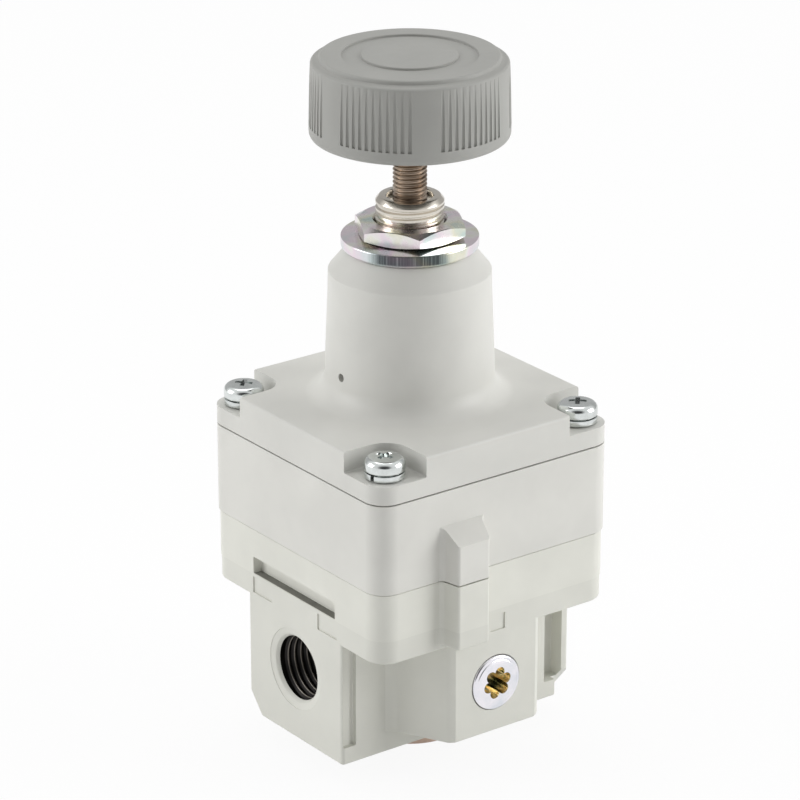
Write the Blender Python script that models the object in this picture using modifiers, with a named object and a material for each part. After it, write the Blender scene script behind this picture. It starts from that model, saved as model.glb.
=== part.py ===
"""Precision pressure regulator with a square diecast body, modelled for Blender 4.5.

Units are metres and +Z points up, along the adjusting screw.
The origin is the centre of the valve guide's flat underside, on which the regulator rests.
The outlet port faces -X, the inlet port +X, and a plugged gauge port faces -Y and +Y.
"""
import math

import bmesh
import bpy
from mathutils import Quaternion, Vector

# Fits shared by every piece.
CLEARANCE = 0.0002
RUNNING_CLEARANCE = 0.0003
OVERRUN = 0.0010
WELD_DISTANCE = 0.000002
SPLIT_GAP = 0.00015
SHEET_CLEARANCE = 0.0001

# Facet counts, which set how finely round shapes are drawn.
LARGE_STEPS = 40
MEDIUM_STEPS = 24
SMALL_STEPS = 14
TINY_STEPS = 8
ARC_STEPS = 4
NUT_ENVELOPE_STEPS = 48

# Driving sizes of the body.
BODY_WIDTH = 0.0500
BODY_CORNER_RADIUS = 0.0040
LOWER_INSET = 0.0002
BAND_INSET = 0.0003
EDGE_ROUNDING = 0.0005
PORT_BLOCK_HEIGHT = 0.0225
PORT_BLOCK_WIDTH = 0.0278
GAUGE_BLOCK_RISE = 0.0039
GAUGE_BLOCK_WIDTH = 0.0189
GAUGE_BLOCK_ROOT_WIDTH = 0.0296
BAND_HEIGHT = 0.0043
FLANGE_HEIGHT = 0.00845
MID_HEIGHT = 0.01595
BONNET_GAP = 0.0005

# Driving sizes of the bonnet.
PLATE_HEIGHT = 0.0069
NOTCH_DEPTH = 0.00375
NOTCH_WIDTH = 0.0101
NOTCH_RADIUS = 0.0042
NECK_HEIGHT = 0.02645
NECK_ROOT_RADIUS = 0.01475
NECK_TOP_RADIUS = 0.01395
NECK_FILLET_RADIUS = 0.0038
SHOULDER_HEIGHT = 0.0036
SHOULDER_TOP_RADIUS = 0.0119
SHOULDER_ROUNDING = 0.0007
BONNET_TOP_WALL = 0.0031
BONNET_CAVITY_WALL = 0.0095
BONNET_CAVITY_HEIGHT = 0.0048
SPRING_BORE_RADIUS = 0.0112
SPRING_BORE_CONE_HEIGHT = 0.0035
VENT_RADIUS = 0.00075
VENT_HEIGHT = 0.0060

# Front boss, which carries the pilot passage from the lower body to the mid body.
BOSS_OFFSET = 0.0078
BOSS_REACH = 0.0036
BOSS_FRONT_WIDTH = 0.0058
BOSS_ROOT_WIDTH = 0.0070
BOSS_FILLET_RADIUS = 0.0016
BOSS_HEIGHT_IN_MID = 0.0099
BOSS_TOP_FALL = 0.0028
PILOT_PASSAGE_RADIUS = 0.0008
PILOT_PASSAGE_INSET = 0.0014
PILOT_PASSAGE_FLOOR = 0.0040
PILOT_CROSS_RISE = 0.0016

# Ports and flow passages in the lower body.
PORT_AXIS_RISE = 0.0131
PORT_RADIUS = 0.0058
PORT_MOUTH_RADIUS = 0.0072
PORT_CHAMFER_DEPTH = 0.0011
PORT_END_WALL = 0.0030
GAUGE_PORT_RADIUS = 0.0045
GAUGE_PORT_DEPTH = 0.0105
GAUGE_COUNTERBORE_RADIUS = 0.0053
GAUGE_COUNTERBORE_DEPTH = 0.0008
GAUGE_PASSAGE_RADIUS = 0.0010
CHAMBER_RADIUS = 0.0085
UPPER_CHAMBER_RADIUS = 0.0075
UPPER_CHAMBER_HEIGHT = 0.0055
SEAT_WEB_THICKNESS = 0.0030
SEAT_BORE_RADIUS = 0.0036
SEAT_LIP_WIDTH = 0.0009
SEAT_LIP_HEIGHT = 0.0006
PASSAGE_RADIUS = 0.0024
INLET_PASSAGE_DROP = 0.0038
OUTLET_PASSAGE_RISE = 0.0010
FEEDBACK_DEPTH = 0.00665
FEEDBACK_LEDGE_WIDTH = 0.0019
FEEDBACK_HOLE_RADIUS = 0.0008
FEEDBACK_HOLE_OFFSET = 0.0055
DIAPHRAGM_SEAT_DEPTH = 0.00055

# Bracket slot and end details of the port blocks.
SLOT_WIDTH = 0.0241
SLOT_HEIGHT = 0.0032
SLOT_DEPTH = 0.0017
SLOT_RISE = 0.0001
SLOT_CORNER_RADIUS = 0.0008
SLOT_CHANNEL_DROP = 0.0024
SLOT_CHANNEL_WIDTH = 0.0012
OUTLET_GROOVE_WIDTH = 0.0027
OUTLET_GROOVE_SETBACK = 0.0002
INLET_GROOVE_WIDTH = 0.0040
INLET_GROOVE_SETBACK = 0.0010
GROOVE_DEPTH = 0.0009
GROOVE_FLOOR_RISE = 0.0032
END_CHAMFER_LENGTH = 0.0030
END_CHAMFER_WIDTH = 0.0040
END_CHAMFER_HEIGHT = 0.0046
LABEL_DEPTH = 0.00025
LABEL_HEIGHT = 0.0031
LABEL_WIDTH = 0.0056
LABEL_DROP = 0.0013
LABEL_SPREAD = 0.0192
GAUGE_LABEL_WIDTH = 0.0030
GAUGE_LABEL_OFFSET = 0.0003

# Valve guide, which closes the body from below.
GUIDE_FLANGE_RADIUS = 0.0100
GUIDE_FLANGE_HEIGHT = 0.0037
GUIDE_CHAMFER = 0.0006
GUIDE_SHANK_LENGTH = 0.0066
GUIDE_FLOOR = 0.0015
GUIDE_POST_RADIUS = 0.0033
GUIDE_BORE_RADIUS = 0.0024
GUIDE_WALL = 0.0016
GUIDE_SPANNER_RADIUS = 0.0010
GUIDE_SPANNER_OFFSET = 0.0065
GUIDE_SPANNER_DEPTH = 0.0016
O_RING_RADIUS = 0.00065
O_RING_RISE = 0.0038
GROOVE_SQUEEZE = 0.0001

# Valve, its spring and the relief spindle.
VALVE_STROKE = 0.0010
POPPET_HEAD_RADIUS = 0.0056
POPPET_HEAD_HEIGHT = 0.0022
POPPET_STEM_RADIUS = 0.0016
POPPET_STEM_REACH = 0.0040
SEAL_RADIUS = 0.0051
SEAL_HEIGHT = 0.0014
VALVE_SPRING_WIRE = 0.0004
VALVE_SPRING_RADIUS = 0.0048
VALVE_SPRING_TURNS = 3
SPINDLE_SHAFT_RADIUS = 0.0022
SPINDLE_FOOT_HEIGHT = 0.0010
SPINDLE_FOOT_RADIUS = 0.0042
EXHAUST_RADIUS = 0.0009
EXHAUST_SIDE_RADIUS = 0.0006

# Diaphragm stack.
DIAPHRAGM_THICKNESS = 0.0006
ROLL_HEIGHT = 0.0012
STACK_BORE_WALL = 0.0051
SPACER_RIM_WIDTH = 0.0042
SPACER_HEIGHT = 0.0038
SPACER_HOLE_RADIUS = 0.0009
SPACER_HOLES = 4
SPACER_HOLE_TURN_DEG = 50.0
ROLL_SPAN = 0.0043
LOWER_PLATE_THICKNESS = 0.0012
UPPER_PLATE_THICKNESS = 0.0010
HUB_RADIUS = 0.0048
STACK_NUT_RADIUS = 0.0042
STACK_NUT_HEIGHT = 0.0015
PILOT_RIM_WIDTH = 0.0029
PILOT_CHAMBER_HEIGHT = 0.0038

# Pilot stage in the mid body.
PARTITION_THICKNESS = 0.0027
TOP_CAVITY_WALL = 0.0075
NOZZLE_HEAD_RADIUS = 0.0031
NOZZLE_HEAD_HEIGHT = 0.0013
NOZZLE_SHANK_RADIUS = 0.0018
NOZZLE_TIP_RADIUS = 0.0009
NOZZLE_TIP_HEIGHT = 0.0007
NOZZLE_HOLE_RADIUS = 0.0004
ORIFICE_INSET = 0.0050
ORIFICE_HEAD_RADIUS = 0.0022
ORIFICE_HEAD_HEIGHT = 0.0006
ORIFICE_HOLE_RADIUS = 0.0003
ORIFICE_TURN_DEG = 8.0
FLAPPER_STROKE = 0.00015
FLAPPER_RADIUS = 0.0085
FLAPPER_THICKNESS = 0.0009
FLAPPER_PAD_RADIUS = 0.0018
FLAPPER_SHEET_INSET = 0.0004
LOWER_SEAT_RADIUS = 0.0095
LOWER_SEAT_HEIGHT = 0.0017
SEAT_BOSS_RADIUS = 0.0063
SEAT_BOSS_HEIGHT = 0.0012
LOWER_SEAT_PIN_RADIUS = 0.0014
LOWER_SEAT_PIN_REACH = 0.0009

# Set spring, adjusting screw and knob.
SET_SPRING_WIRE = 0.0009
SET_SPRING_RADIUS = 0.0077
SET_SPRING_TURNS = 6
UPPER_SEAT_RADIUS = 0.0098
UPPER_SEAT_HEIGHT = 0.0020
UPPER_SEAT_HUB_RADIUS = 0.0040
UPPER_SEAT_HUB_HEIGHT = 0.0010
UPPER_SEAT_HEADROOM = 0.00145
BALL_RADIUS = 0.0015
BALL_DEPTH = 0.0009
STEM_RADIUS = 0.0029
STEM_TIP_CHAMFER = 0.0006
BUSHING_RADIUS = 0.0058
BUSHING_FLANGE_RADIUS = 0.0090
BUSHING_FLANGE_HEIGHT = 0.0018
BUSHING_REACH = 0.0094
BUSHING_CHAMFER = 0.0005
BUSHING_MOUTH_RADIUS = 0.0043
BUSHING_MOUTH_DEPTH = 0.0016
PANEL_WASHER_RADIUS = 0.01177
PANEL_WASHER_THICKNESS = 0.0022
PANEL_NUT_RADIUS = 0.0100
PANEL_NUT_HEIGHT = 0.0027
PANEL_NUT_CHAMFER = 0.0007
PANEL_NUT_CHAMFER_HEIGHT = 0.0006
PANEL_NUT_TURN_DEG = 3.0
KNOB_LIFT = 0.0104
KNOB_RADIUS = 0.0170
KNOB_TOP_SIDE_RADIUS = 0.0167
KNOB_BOTTOM_RADIUS = 0.0162
KNOB_HEIGHT = 0.01425
KNOB_BOTTOM_ROUNDING = 0.0011
KNOB_SIDE_HEIGHT = 0.0125
KNOB_SHOULDER_RADIUS = 0.0155
KNOB_SHOULDER_RISE = 0.0010
KNOB_CROWN_RADIUS = 0.01526
KNOB_WALL = 0.0022
KNOB_ROOF = 0.0030
KNOB_HUB_RADIUS = 0.0062
KNOB_HUB_SETBACK = 0.0006
KNOB_RING_OUTER_RADIUS = 0.0115
KNOB_RING_INNER_RADIUS = 0.00815
KNOB_RING_DEPTH = 0.0004
KNOB_GROOVE_RADIUS = 0.00042
KNOB_GROOVE_SINK = 0.00005
KNOB_GROOVE_BOTTOM = 0.0023
KNOB_GROUPS = 6
KNOB_GROOVES_IN_GROUP = 11
KNOB_GROOVE_PITCH_DEG = 4.14
KNOB_TURN_DEG = 32.5
INSERT_RADIUS = 0.0044
INSERT_LENGTH = 0.0080

# Body screws and gauge plugs.
SCREW_INSET = 0.0045
SCREW_SHANK_RADIUS = 0.0018
SCREW_HOLE_CLEARANCE = 0.0004
SCREW_ENGAGEMENT = 0.0088
SCREW_HEAD_RADIUS = 0.0035
SCREW_HEAD_HEIGHT = 0.0025
SCREW_CROSS_WIDTH = 0.0009
SCREW_CROSS_LENGTH = 0.0034
SCREW_CROSS_DEPTH = 0.0013
SPRING_WASHER_RADIUS = 0.0034
SPRING_WASHER_THICKNESS = 0.0010
SPRING_WASHER_SPLIT = 0.0007
PLUG_HEAD_RADIUS = 0.0050
PLUG_HEAD_HEIGHT = 0.0011
PLUG_HEAD_CHAMFER = 0.0003
PLUG_SHANK_LENGTH = 0.0070
PLUG_SOCKET_RADIUS = 0.00245
PLUG_SOCKET_WAVE = 0.00040
PLUG_SOCKET_DEPTH = 0.0034
PLUG_SOCKET_LOBES = 6
PLUG_SOCKET_POINTS = 30
PLUG_SEAL_WIRE = 0.0004
PLUG_SEAL_RELIEF = 0.0010

# Heights that follow from the sizes above, measured up the regulator's axis.
PORT_BLOCK_BOTTOM = GUIDE_FLANGE_HEIGHT + CLEARANCE
PORT_AXIS = PORT_BLOCK_BOTTOM + PORT_AXIS_RISE
FLANGE_BOTTOM = PORT_BLOCK_BOTTOM + PORT_BLOCK_HEIGHT
BAND_TOP = FLANGE_BOTTOM + BAND_HEIGHT
LOWER_TOP = BAND_TOP + FLANGE_HEIGHT
MID_BOTTOM = LOWER_TOP + SPLIT_GAP
MID_TOP = MID_BOTTOM + MID_HEIGHT
BONNET_BOTTOM = MID_TOP + BONNET_GAP
PLATE_TOP = BONNET_BOTTOM + PLATE_HEIGHT
BONNET_TOP = PLATE_TOP + NECK_HEIGHT
NOTCH_FLOOR = PLATE_TOP - NOTCH_DEPTH
UPPER_CHAMBER_FLOOR = PORT_AXIS + SEAT_WEB_THICKNESS
UPPER_CHAMBER_TOP = UPPER_CHAMBER_FLOOR + UPPER_CHAMBER_HEIGHT
FEEDBACK_FLOOR = LOWER_TOP - FEEDBACK_DEPTH
DIAPHRAGM_SEAT = LOWER_TOP - DIAPHRAGM_SEAT_DEPTH
LOWER_DIAPHRAGM_BOTTOM = DIAPHRAGM_SEAT + CLEARANCE
SPACER_BOTTOM = LOWER_DIAPHRAGM_BOTTOM + DIAPHRAGM_THICKNESS + CLEARANCE
UPPER_DIAPHRAGM_BOTTOM = SPACER_BOTTOM + SPACER_HEIGHT + CLEARANCE
PILOT_CHAMBER_BOTTOM = UPPER_DIAPHRAGM_BOTTOM + DIAPHRAGM_THICKNESS + CLEARANCE
PILOT_CHAMBER_TOP = PILOT_CHAMBER_BOTTOM + PILOT_CHAMBER_HEIGHT
PARTITION_TOP = PILOT_CHAMBER_TOP + PARTITION_THICKNESS
BONNET_CEILING = BONNET_TOP - BONNET_TOP_WALL
SHOULDER_BOTTOM = BONNET_TOP - SHOULDER_HEIGHT

# Half widths that follow from the body's width.
HALF_BODY = BODY_WIDTH / 2
HALF_LOWER = HALF_BODY - LOWER_INSET
HALF_BAND = HALF_BODY - BAND_INSET
HALF_PORT_BLOCK = PORT_BLOCK_WIDTH / 2
SCREW_OFFSET = HALF_BODY - SCREW_INSET
STACK_BORE_RADIUS = HALF_BODY - STACK_BORE_WALL
SPACER_OUTER_RADIUS = STACK_BORE_RADIUS - CLEARANCE
SPACER_INNER_RADIUS = SPACER_OUTER_RADIUS - SPACER_RIM_WIDTH
PLATE_RADIUS = SPACER_INNER_RADIUS - ROLL_SPAN
FEEDBACK_RADIUS = STACK_BORE_RADIUS - FEEDBACK_LEDGE_WIDTH
PILOT_CHAMBER_RADIUS = STACK_BORE_RADIUS - PILOT_RIM_WIDTH
ORIFICE_OFFSET = PILOT_CHAMBER_RADIUS - ORIFICE_INSET
TOP_CAVITY_RADIUS = HALF_BODY - TOP_CAVITY_WALL
BONNET_CAVITY_RADIUS = HALF_BODY - BONNET_CAVITY_WALL
PORT_DEPTH = HALF_BAND - CHAMBER_RADIUS - PORT_END_WALL

# Surface looks: colour, roughness and metallic value.
LOOKS = {
    "casting_lower": ((0.70, 0.70, 0.64), 0.45, 0.0),
    "casting_mid": ((0.67, 0.66, 0.62), 0.45, 0.0),
    "casting_bonnet": ((0.64, 0.64, 0.61), 0.45, 0.0),
    "grey_plastic": ((0.36, 0.36, 0.34), 0.55, 0.0),
    "nickel_plate": ((0.60, 0.57, 0.50), 0.25, 1.0),
    "bronze": ((0.30, 0.23, 0.17), 0.40, 1.0),
    "chromate_zinc": ((0.72, 0.72, 0.68), 0.22, 1.0),
    "bright_zinc": ((0.78, 0.80, 0.80), 0.20, 1.0),
    "brass": ((0.75, 0.55, 0.28), 0.35, 1.0),
    "tan_plastic": ((0.72, 0.50, 0.36), 0.50, 0.0),
    "black_rubber": ((0.03, 0.03, 0.03), 0.75, 0.0),
    "spring_steel": ((0.55, 0.55, 0.54), 0.30, 1.0),
    "pressed_steel": ((0.62, 0.62, 0.60), 0.35, 1.0),
    "machined_aluminium": ((0.75, 0.75, 0.75), 0.35, 1.0),
}

PARTS_NAME = "precision_pressure_regulator"
CUTTERS_NAME = "cutters"


def clear_scene():
    """Remove every object, so that the regulator is built in an empty scene."""
    for old in list(bpy.data.objects):
        bpy.data.objects.remove(old, do_unlink=True)


def collection(name):
    """Return the named collection, linked to the scene."""
    found = bpy.data.collections.get(name)
    if found is None:
        found = bpy.data.collections.new(name)
        bpy.context.scene.collection.children.link(found)
    return found


def add_object(name, data, home=PARTS_NAME):
    """Put mesh or curve data into the scene as a named object."""
    added = bpy.data.objects.new(name, data)
    collection(home).objects.link(added)
    return added


def look(piece, name):
    """Give a piece its own material."""
    colour, roughness, metallic = LOOKS[name]
    material = bpy.data.materials.new(piece.name + "_" + name)
    material.use_nodes = True
    shader = material.node_tree.nodes["Principled BSDF"]
    shader.inputs["Base Color"].default_value = (*colour, 1.0)
    shader.inputs["Roughness"].default_value = roughness
    shader.inputs["Metallic"].default_value = metallic
    piece.data.materials.clear()
    piece.data.materials.append(material)
    return piece


def arc(centre, radius, start_deg, end_deg, steps=ARC_STEPS):
    """Return points along an arc, both ends included."""
    points = []
    for step in range(steps + 1):
        angle = math.radians(start_deg + (end_deg - start_deg) * step / steps)
        points.append((centre[0] + radius * math.cos(angle), centre[1] + radius * math.sin(angle)))
    return points


def rounded_rectangle(half_x, half_y, radius):
    """Return the outline of a rectangle with round corners, anticlockwise."""
    inner_x = half_x - radius
    inner_y = half_y - radius
    outline = arc((inner_x, inner_y), radius, 0, 90)
    outline += arc((-inner_x, inner_y), radius, 90, 180)
    outline += arc((-inner_x, -inner_y), radius, 180, 270)
    outline += arc((inner_x, -inner_y), radius, 270, 360)
    return outline


def weld(mesh):
    """Join the loose caps of a mesh that came from a curve."""
    work = bmesh.new()
    work.from_mesh(mesh)
    bmesh.ops.remove_doubles(work, verts=work.verts, dist=WELD_DISTANCE)
    bmesh.ops.recalc_face_normals(work, faces=work.faces)
    work.to_mesh(mesh)
    work.free()


def mesh_from_curve(name, curve, home):
    """Turn curve data into a welded mesh object."""
    carrier = add_object(name + "_curve", curve, home)
    bpy.context.view_layer.update()
    graph = bpy.context.evaluated_depsgraph_get()
    mesh = bpy.data.meshes.new_from_object(carrier.evaluated_get(graph))
    weld(mesh)
    solid = add_object(name, mesh, home)
    solid.matrix_world = carrier.matrix_world
    bpy.data.objects.remove(carrier, do_unlink=True)
    return solid


def slab(name, outline, bottom, top, home=PARTS_NAME):
    """Extrude a flat outline between two heights."""
    curve = bpy.data.curves.new(name, "CURVE")
    curve.dimensions = "2D"
    curve.fill_mode = "BOTH"
    curve.extrude = (top - bottom) / 2
    spline = curve.splines.new("POLY")
    spline.points.add(len(outline) - 1)
    for point, (x, y) in zip(spline.points, outline):
        point.co = (x, y, 0, 1)
    spline.use_cyclic_u = True
    solid = mesh_from_curve(name, curve, home)
    solid.location = (0, 0, (top + bottom) / 2)
    return solid


def turned(name, profile, height=0, steps=MEDIUM_STEPS, closed=False, home=PARTS_NAME):
    """Turn a profile of (radius, height) points, which runs down its outer side, about +Z."""
    mesh = bpy.data.meshes.new(name)
    edges = [(index, index + 1) for index in range(len(profile) - 1)]
    if closed:
        edges.append((len(profile) - 1, 0))
    mesh.from_pydata([(radius, 0, z) for radius, z in profile], edges, [])
    solid = add_object(name, mesh, home)
    solid.location = (0, 0, height)
    screw = solid.modifiers.new("turn", "SCREW")
    screw.steps = steps
    screw.render_steps = steps
    screw.use_merge_vertices = True
    screw.merge_threshold = WELD_DISTANCE
    screw.use_smooth_shade = True
    return solid


def ring(name, inner, outer, thickness, height=0, steps=MEDIUM_STEPS, home=PARTS_NAME):
    """Turn a plain flat ring whose underside is at the given height."""
    profile = [(outer, thickness), (outer, 0), (inner, 0), (inner, thickness)]
    return turned(name, profile, height, steps, True, home)


def cylinder(name, radius, start, end, steps=SMALL_STEPS, home=CUTTERS_NAME, end_radius=None):
    """Make a straight or tapered cylinder between two points."""
    start = Vector(start)
    end = Vector(end)
    span = end - start
    work = bmesh.new()
    far_radius = radius if end_radius is None else end_radius
    bmesh.ops.create_cone(work, cap_ends=True, segments=steps, radius1=radius, radius2=far_radius,
                          depth=span.length)
    mesh = bpy.data.meshes.new(name)
    work.to_mesh(mesh)
    work.free()
    mesh.shade_smooth()
    mesh.set_sharp_from_angle(angle=math.radians(40))
    solid = add_object(name, mesh, home)
    solid.rotation_mode = "QUATERNION"
    solid.rotation_quaternion = span.to_track_quat("Z", "Y")
    solid.location = (start + end) / 2
    return solid


def block(name, low, high, home=CUTTERS_NAME, rounding=0):
    """Make a box between two corners, with rounded edges where a rounding is given."""
    low = Vector(low)
    high = Vector(high)
    work = bmesh.new()
    bmesh.ops.create_cube(work, size=1)
    bmesh.ops.scale(work, vec=high - low, verts=work.verts)
    mesh = bpy.data.meshes.new(name)
    work.to_mesh(mesh)
    work.free()
    solid = add_object(name, mesh, home)
    solid.location = (low + high) / 2
    if rounding:
        round_edges(solid, rounding)
    return solid


def round_edges(piece, width, segments=2):
    """Round the sharp edges of a piece."""
    bevel = piece.modifiers.new("rounding", "BEVEL")
    bevel.width = width
    bevel.segments = segments
    bevel.limit_method = "ANGLE"
    bevel.angle_limit = math.radians(40)
    bevel.use_clamp_overlap = True
    return piece


def combine(piece, tool, operation):
    """Add one exact Boolean step to a piece, and put its tool out of sight."""
    step = piece.modifiers.new(tool.name, "BOOLEAN")
    step.operation = operation
    step.solver = "EXACT"
    step.object = tool
    tool.hide_render = True
    tool.display_type = "WIRE"
    for home in list(tool.users_collection):
        home.objects.unlink(tool)
    collection(CUTTERS_NAME).objects.link(tool)
    return piece


def cut(piece, *tools):
    """Cut the tools out of a piece."""
    for tool in tools:
        combine(piece, tool, "DIFFERENCE")
    return piece


def fuse(piece, *tools):
    """Join the tools to a piece."""
    for tool in tools:
        combine(piece, tool, "UNION")
    return piece


def settle(piece):
    """Replace a piece's modifiers by their result, so that its mesh can be shared by copies."""
    bpy.context.view_layer.update()
    graph = bpy.context.evaluated_depsgraph_get()
    mesh = bpy.data.meshes.new_from_object(piece.evaluated_get(graph))
    tools = [step.object for step in piece.modifiers if step.type == "BOOLEAN"]
    piece.modifiers.clear()
    piece.data = mesh
    for tool in tools:
        bpy.data.objects.remove(tool, do_unlink=True)
    return piece


def copy_of(piece, name, location, turn_deg=0):
    """Place another piece that shares a mesh."""
    twin = add_object(name, piece.data)
    twin.location = location
    twin.rotation_euler = (0, 0, math.radians(turn_deg))
    return twin


def coil(name, radius, wire, bottom, length, turns, points_per_turn=10):
    """Wind a compression spring whose end turns lie flat."""
    curve = bpy.data.curves.new(name, "CURVE")
    curve.dimensions = "3D"
    curve.bevel_depth = wire
    curve.bevel_resolution = 2
    curve.use_fill_caps = True
    total = turns + 2
    count = total * points_per_turn
    spline = curve.splines.new("POLY")
    spline.points.add(count)
    closed_rise = 2 * (wire + SHEET_CLEARANCE)
    open_rise = (length - 2 * closed_rise - 2 * wire) / turns
    for index, point in enumerate(spline.points):
        turn = index / points_per_turn
        angle = 2 * math.pi * turn
        first = min(turn, 1) * closed_rise
        middle = max(0, min(turn - 1, turns)) * open_rise
        last = max(0, turn - 1 - turns) * closed_rise
        point.co = (radius * math.cos(angle), radius * math.sin(angle), first + middle + last, 1)
    spring = mesh_from_curve(name, curve, PARTS_NAME)
    spring.location = (0, 0, bottom + wire)
    return spring


def four_corners():
    """Yield a name and the signs of each corner, starting at the front left."""
    yield "front_left", -1, -1
    yield "front_right", 1, -1
    yield "back_right", 1, 1
    yield "back_left", -1, 1


def boss_outline():
    """Return the plan of the front boss, blended into the face behind it."""
    left_root = -BOSS_OFFSET - BOSS_ROOT_WIDTH / 2
    right_root = -BOSS_OFFSET + BOSS_ROOT_WIDTH / 2
    left_front = -BOSS_OFFSET - BOSS_FRONT_WIDTH / 2
    right_front = -BOSS_OFFSET + BOSS_FRONT_WIDTH / 2
    face = -HALF_BAND
    front = -HALF_BODY - BOSS_REACH
    inside = face + BOSS_REACH
    fillet = BOSS_FILLET_RADIUS
    corner = BOSS_FILLET_RADIUS / 2
    outline = [(left_root - fillet, inside), (left_root - fillet, face)]
    outline += arc((left_root - fillet, face - fillet), fillet, 90, 15)
    outline += arc((left_front + corner, front + corner), corner, 190, 270)
    outline += arc((right_front - corner, front + corner), corner, 270, 350)
    outline += arc((right_root + fillet, face - fillet), fillet, 165, 90)
    outline += [(right_root + fillet, face), (right_root + fillet, inside)]
    return outline


def screw_holes(prefix, bottom, top):
    """Return one cutter for each body screw."""
    radius = SCREW_SHANK_RADIUS + SCREW_HOLE_CLEARANCE
    holes = []
    for corner, side_x, side_y in four_corners():
        x = side_x * SCREW_OFFSET
        y = side_y * SCREW_OFFSET
        name = prefix + "_screw_hole_" + corner
        holes.append(cylinder(name, radius, (x, y, bottom), (x, y, top), TINY_STEPS))
    return holes


def gauge_block_outline():
    """Return the plan of both gauge blocks, which widen towards the port block."""
    front = GAUGE_BLOCK_WIDTH / 2
    root = GAUGE_BLOCK_ROOT_WIDTH / 2
    face = HALF_BAND
    side = HALF_PORT_BLOCK
    return [(front, face), (-front, face), (-root, side), (-root, -side),
            (-front, -face), (front, -face), (root, -side), (root, side)]


def valve_bore_profile():
    """Return the turned hollow through the lower body, from the diaphragm seat to the guide bore."""
    lip_outer = SEAT_BORE_RADIUS + SEAT_LIP_WIDTH
    lip_edge = PORT_AXIS - SEAT_LIP_HEIGHT
    guide_hole = SPINDLE_SHAFT_RADIUS + RUNNING_CLEARANCE
    return [
        (0, LOWER_TOP + OVERRUN),
        (STACK_BORE_RADIUS, LOWER_TOP + OVERRUN),
        (STACK_BORE_RADIUS, DIAPHRAGM_SEAT),
        (FEEDBACK_RADIUS, DIAPHRAGM_SEAT),
        (FEEDBACK_RADIUS, FEEDBACK_FLOOR),
        (guide_hole, FEEDBACK_FLOOR),
        (guide_hole, UPPER_CHAMBER_TOP),
        (UPPER_CHAMBER_RADIUS, UPPER_CHAMBER_TOP),
        (UPPER_CHAMBER_RADIUS, UPPER_CHAMBER_FLOOR),
        (SEAT_BORE_RADIUS, UPPER_CHAMBER_FLOOR),
        (SEAT_BORE_RADIUS, lip_edge),
        (lip_outer, lip_edge),
        (lip_outer, PORT_AXIS),
        (CHAMBER_RADIUS, PORT_AXIS),
        (CHAMBER_RADIUS, PORT_BLOCK_BOTTOM - OVERRUN),
        (0, PORT_BLOCK_BOTTOM - OVERRUN),
    ]


def port_cutters(side, name):
    """Return the cutters of one threaded port: its tapped bore and its chamfered mouth."""
    face = side * HALF_BAND
    end = side * (HALF_BAND - PORT_DEPTH)
    mouth = side * (HALF_BAND - PORT_CHAMFER_DEPTH)
    past = side * (HALF_BAND + PORT_CHAMFER_DEPTH)
    flare = 2 * PORT_MOUTH_RADIUS - PORT_RADIUS
    bore = cylinder(name + "_bore", PORT_RADIUS, (end, 0, PORT_AXIS), (face + side * OVERRUN, 0, PORT_AXIS),
                    MEDIUM_STEPS)
    chamfer = cylinder(name + "_mouth", PORT_RADIUS, (mouth, 0, PORT_AXIS), (past, 0, PORT_AXIS),
                       MEDIUM_STEPS, end_radius=flare)
    return bore, chamfer


def passage_cutters():
    """Return the cored passages that join the ports to the two sides of the valve."""
    inner = UPPER_CHAMBER_RADIUS - PASSAGE_RADIUS / 2
    outer = HALF_BAND - PORT_DEPTH + OVERRUN
    inlet_height = PORT_AXIS - INLET_PASSAGE_DROP
    outlet_height = UPPER_CHAMBER_FLOOR + OUTLET_PASSAGE_RISE
    inlet = cylinder("inlet_passage", PASSAGE_RADIUS, (inner, 0, inlet_height), (outer, 0, inlet_height))
    outlet = cylinder("outlet_passage", PASSAGE_RADIUS, (-outer, 0, outlet_height), (-inner, 0, outlet_height))
    return inlet, outlet


def gauge_cutters(side, name):
    """Return the cutters of one gauge port: counterbore, tapped bore and sensing passage."""
    face = side * HALF_BAND
    past = face + side * OVERRUN
    step = side * (HALF_BAND - GAUGE_COUNTERBORE_DEPTH)
    end = side * (HALF_BAND - GAUGE_PORT_DEPTH)
    height = UPPER_CHAMBER_FLOOR + OUTLET_PASSAGE_RISE
    inner = side * (UPPER_CHAMBER_RADIUS - GAUGE_PASSAGE_RADIUS)
    counterbore = cylinder(name + "_counterbore", GAUGE_COUNTERBORE_RADIUS, (0, past, PORT_AXIS),
                           (0, step, PORT_AXIS), MEDIUM_STEPS)
    bore = cylinder(name + "_bore", GAUGE_PORT_RADIUS, (0, past, PORT_AXIS), (0, end, PORT_AXIS))
    passage = cylinder(name + "_passage", GAUGE_PASSAGE_RADIUS, (0, end + side * OVERRUN, height),
                       (0, inner, height), TINY_STEPS)
    return counterbore, bore, passage


def slot_cutters(side, name):
    """Return the cutters of the bracket slot: its shallow pocket and the channel in its floor."""
    floor = FLANGE_BOTTOM + BAND_HEIGHT + SLOT_RISE
    roof = floor + SLOT_HEIGHT
    half = SLOT_WIDTH / 2
    outer = side * (HALF_LOWER + OVERRUN)
    back = side * (HALF_LOWER - SLOT_DEPTH)
    pocket = block(name + "_pocket", (min(outer, back), -half, floor), (max(outer, back), half, roof))
    round_edges(pocket, SLOT_CORNER_RADIUS)
    channel_front = side * (HALF_LOWER - SLOT_DEPTH + SLOT_CHANNEL_WIDTH)
    channel_half = half - SLOT_CORNER_RADIUS
    channel_top = floor + SLOT_CORNER_RADIUS
    channel = block(name + "_channel", (min(channel_front, back), -channel_half, floor - SLOT_CHANNEL_DROP),
                    (max(channel_front, back), channel_half, channel_top))
    return pocket, channel


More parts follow.
